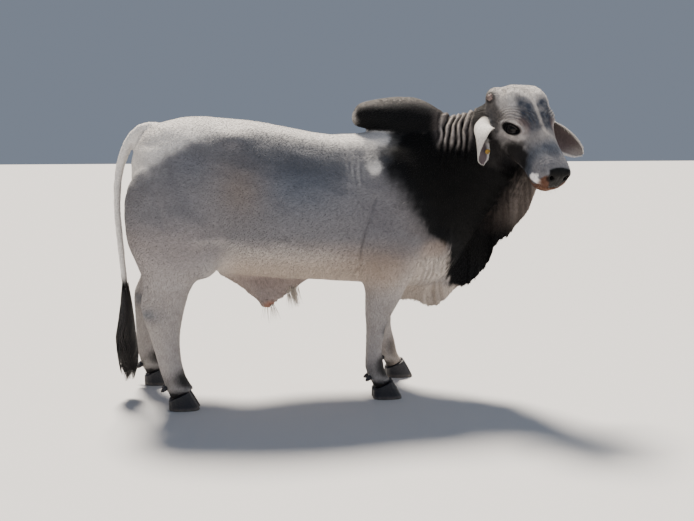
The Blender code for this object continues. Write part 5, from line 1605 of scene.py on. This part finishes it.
# Long hair: the switch, the tuft at the sheath, lashes and whiskers, each strand a tapering closed thread
strandSpec = {
    "switch": {  # centre line and half width: x, z, radius, a little over the solid's
        "rows": ((-0.804, 0.64, 0.019), (-0.804, 0.5845, 0.022), (-0.803, 0.52, 0.03), (-0.806, 0.43, 0.043),
                 (-0.812, 0.34, 0.056), (-0.808, 0.25, 0.06), (-0.803, 0.17, 0.052), (-0.812, 0.092, 0.026)),
        "locks": 26, "perLock": 23, "points": 20, "thick": 0.0019, "wave": 0.019, "seed": 71,
        "lockTurn": 2.39996,  # radians from one lock to the next, the golden angle
        "colours": ("#0b0a0a", "#2b2422"),
    },
    "sheath": {"places": ((0.066, -0.012, 0.575, 170), (-0.045, -0.012, 0.48, 22)), "length": (0.04, 0.08),
               "droop": 0.35, "thick": 0.0011, "seed": 72, "colours": ("#ddd5ca", "#9c8e7d")},
    "lashes": {"count": 34, "length": (0.01, 0.016), "droop": 0.45, "thick": 0.00045, "seed": 73,
               "colours": ("#070606", "#171313")},
    "whiskers": {"count": 60, "length": (0.012, 0.03), "droop": 0.25, "thick": 0.00028, "seed": 74,
                 "within": ((0.46, 0.56), (-0.09, 0.09), (-0.2, -0.09)), "colours": ("#2a2624", "#cfc8bf")},
    "earFringe": {"count": 300, "length": (0.014, 0.028), "droop": 0.1, "thick": 0.0007, "seed": 75,
                  "colours": ("#cfc8bf", "#8b8280")},
    "sides": 3,
}


def strandTree():
    tree, add, given = newTree("threads along lines", "Threads", {
        "Lines": "Geometry", "Thickness": "Float", "Sides": "Int", "Finish": "Material"})
    curves = add("MeshToCurve", {"Mesh": given["Lines"]})
    thin = add("InputNamedAttribute", {"Name": "taper"}, data_type="FLOAT")
    size = add("Math", {0: thin[0], 1: given["Thickness"]}, operation="MULTIPLY")
    ring = add("CurvePrimitiveCircle", {"Radius": 1.0, "Resolution": given["Sides"]})
    tubes = add("CurveToMesh", {"Fill Caps": True, "Curve": curves[0], "Profile Curve": ring["Curve"],
                                "Scale": size[0]})
    handOver(add, tubes[0], given["Finish"])
    return tree


def threads(name, key, lines, taper, finish, slot, *nodes):  # lines: strands x points x 3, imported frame
    spec = strandSpec[key]
    count, steps = lines.shape[:2]
    edges = [(i * steps + k, i * steps + k + 1) for i in range(count) for k in range(steps - 1)]
    obj = meshOf(name, lines.reshape(-1, 3), (), edges)
    dark, pale = (linear(c) for c in spec["colours"])
    blend = np.random.default_rng(spec["seed"]).uniform(0, 1, (count, 1)) ** 1.6
    storeTone(obj.data, np.repeat(dark + (pale - dark) * blend, steps, axis=0))
    store(obj.data, "taper", "FLOAT", taper)
    store(obj.data, "along", "FLOAT", np.tile(np.linspace(0, 1, steps), count))
    store(obj.data, "root", "FLOAT_VECTOR", np.repeat(lines[:, 0], steps, axis=0))
    grow(obj, threadsAlong, finish, Thickness=spec["thick"], Sides=strandSpec["sides"])
    mesh = obj.data
    place = numbersOf(mesh, "along", 1)
    around = np.arange(len(place)) % strandSpec["sides"] / strandSpec["sides"]
    bakeMap(mesh, 1, np.column_stack((place, around)))
    reshaped(mesh, facingOut)
    settle(obj, slot, finish, *nodes)


def switchLines():
    spec = strandSpec["switch"]
    rows = np.array(spec["rows"])[::-1]
    draw = np.random.default_rng(spec["seed"])
    t = np.linspace(0, 1, spec["points"])
    lines, taper = [], []
    for lock in range(spec["locks"]):
        share = lock / (spec["locks"] - 1)
        phase, twist = draw.uniform(0, 6.28), draw.uniform(-0.6, 0.6)
        lockEnd = 0.092 + 0.17 * draw.uniform() ** 1.5 if lock else 0.092
        lockReach = 0.25 + 0.75 * math.sqrt(draw.uniform(0.08, 1.0))
        for _ in range(spec["perLock"]):
            start = 0.63 - 0.115 * draw.uniform() - 0.08 * share * draw.uniform()
            end = lockEnd + 0.035 * draw.uniform() ** 2
            z = start + (end - start) * t
            x, radius = (np.interp(z, rows[:, 1], rows[:, k]) for k in (0, 2))
            turn = spec["lockTurn"] * lock + draw.normal(0, 0.42) * (1 - 0.55 * t) + twist * t
            reach = radius * np.interp(t, (0, 0.12, 1), (0.8, 0.92, lockReach * draw.uniform(0.85, 1.0)))
            wave = spec["wave"] * t ** 1.3 * np.sin(phase + draw.normal(0, 0.22) + 19.0 * t)
            lines.append(np.column_stack((x + reach * np.cos(turn) - wave * np.sin(turn),
                                          reach * np.sin(turn) + wave * np.cos(turn), z)) + toFrame)
            thick = 0.7 + 0.6 * draw.uniform()
            taper.append(thick * np.interp(t, (0, 0.1, 0.75, 1), (0.5, 1.0, 0.85, 0.12)))
    return np.array(lines), np.array(taper)


def onSkin(spots):  # the nearest places on the skin and its normals there
    tree = BVHTree.FromObject(skin, bpy.context.evaluated_depsgraph_get())
    found = [tree.find_nearest(Vector(spot)) for spot in spots]
    return np.array([f[0] for f in found]), np.array([f[1] for f in found])


def tuftLines(roots, ways, spec, steps=7):
    draw = np.random.default_rng(spec["seed"] + 1)
    t = np.linspace(0, 1, steps)
    length = draw.uniform(*spec["length"], (len(roots), 1, 1))
    ways = unit(ways + draw.normal(0, 0.14, np.shape(ways)))[:, None, :]
    droop = np.array((0.0, 0.0, -spec["droop"])) * length * t[None, :, None] ** 2
    lines = np.array(roots)[:, None, :] + ways * length * t[None, :, None] + droop
    return lines, np.tile(np.interp(t, (0, 0.5, 1), (1.0, 0.8, 0.15)), (len(roots), 1))


def sheathLines(spec, draw):
    spots = [np.array(place[:3]) + draw.normal(0, 1, (place[3], 3)) * (0.016, 0.01, 0.01) + toFrame
             for place in spec["places"]]
    roots, normals = onSkin(np.vstack(spots))
    return roots - 0.002 * normals, normals * 0.7 + np.array((0.1, 0, -1.0))


def lashLines(spec, draw):
    roots, ways = [], []
    for side in (-1, 1):
        directions = eyeDirections(side)
        for k in range(spec["count"]):
            angle = math.radians(18 + 144 * (k + draw.uniform(-0.3, 0.3)) / (spec["count"] - 1))
            ball, length, up = lidEdge(angle)
            roots.append((ball + 0.0015, length, up + 0.001) @ directions + onHead(eyeSpec["place"], side))
            ways.append((0.85, 0.55 * length / eyeSpec["opening"][0], 0.2) @ directions)
    return roots, ways


def whiskerLines(spec, draw):
    spots = [draw.uniform(low, high, spec["count"]) for low, high in spec["within"]]
    roots, normals = onSkin(poll + np.column_stack(spots) @ headAxes + toFrame)
    return roots - 0.001 * normals, normals + 0.5 * headAxes[0]


def fringeLines(spec, draw):  # hair along the rims and in the mouths of the ears
    roots, ways = [], []
    for side in (-1, 1):
        for _ in range(spec["count"] // 2):
            share = draw.uniform(0.02, 0.58)
            edge = 1 if draw.uniform() < 0.5 else -1
            place = edge * draw.uniform(0.8, 0.98)
            spot = earPoint(side, share, place, -0.45)
            ahead = earPoint(side, min(1.0, share + 0.05), place, -0.45) - spot
            across = earPoint(side, share, place * 0.7, -0.45) - spot
            roots.append(spot)
            ways.append(unit(ahead) + 0.55 * unit(across) * draw.uniform(0.2, 1.0))
    return roots, ways


threadsAlong = strandTree()
# Coarse tail hair: near black, with a long soft gloss along the strands
longHair = unevenTone("coarse black tail hair", 260.0, 0.3, Roughness=0.42, IOR=1.55, Specular_IOR_Level=0.45)
# Single body hairs, lashes and whiskers: smooth thin horn threads
fineHair = unevenTone("single coarse hairs", 260.0, 0.18, Roughness=0.5, IOR=1.55, Specular_IOR_Level=0.35)
threads("tail_switch_locks", "switch", *switchLines(), longHair, "tail_hair", "tail_switch")
for name, key, linesOf, slot in (
        ("sheath_hair", "sheath", sheathLines, "pale_hide"),
        ("eyelashes", "lashes", lashLines, "dark_hide"),
        ("whiskers", "whiskers", whiskerLines, "pale_hide"),
        ("ear_fringe", "earFringe", fringeLines, "pale_hide")):
    spec = strandSpec[key]
    roots, ways = linesOf(spec, np.random.default_rng(spec["seed"]))
    threads(name, key, *tuftLines(roots, ways, spec), fineHair, slot)
print("switch, sheath tuft, lashes, whiskers and ear fringe made")
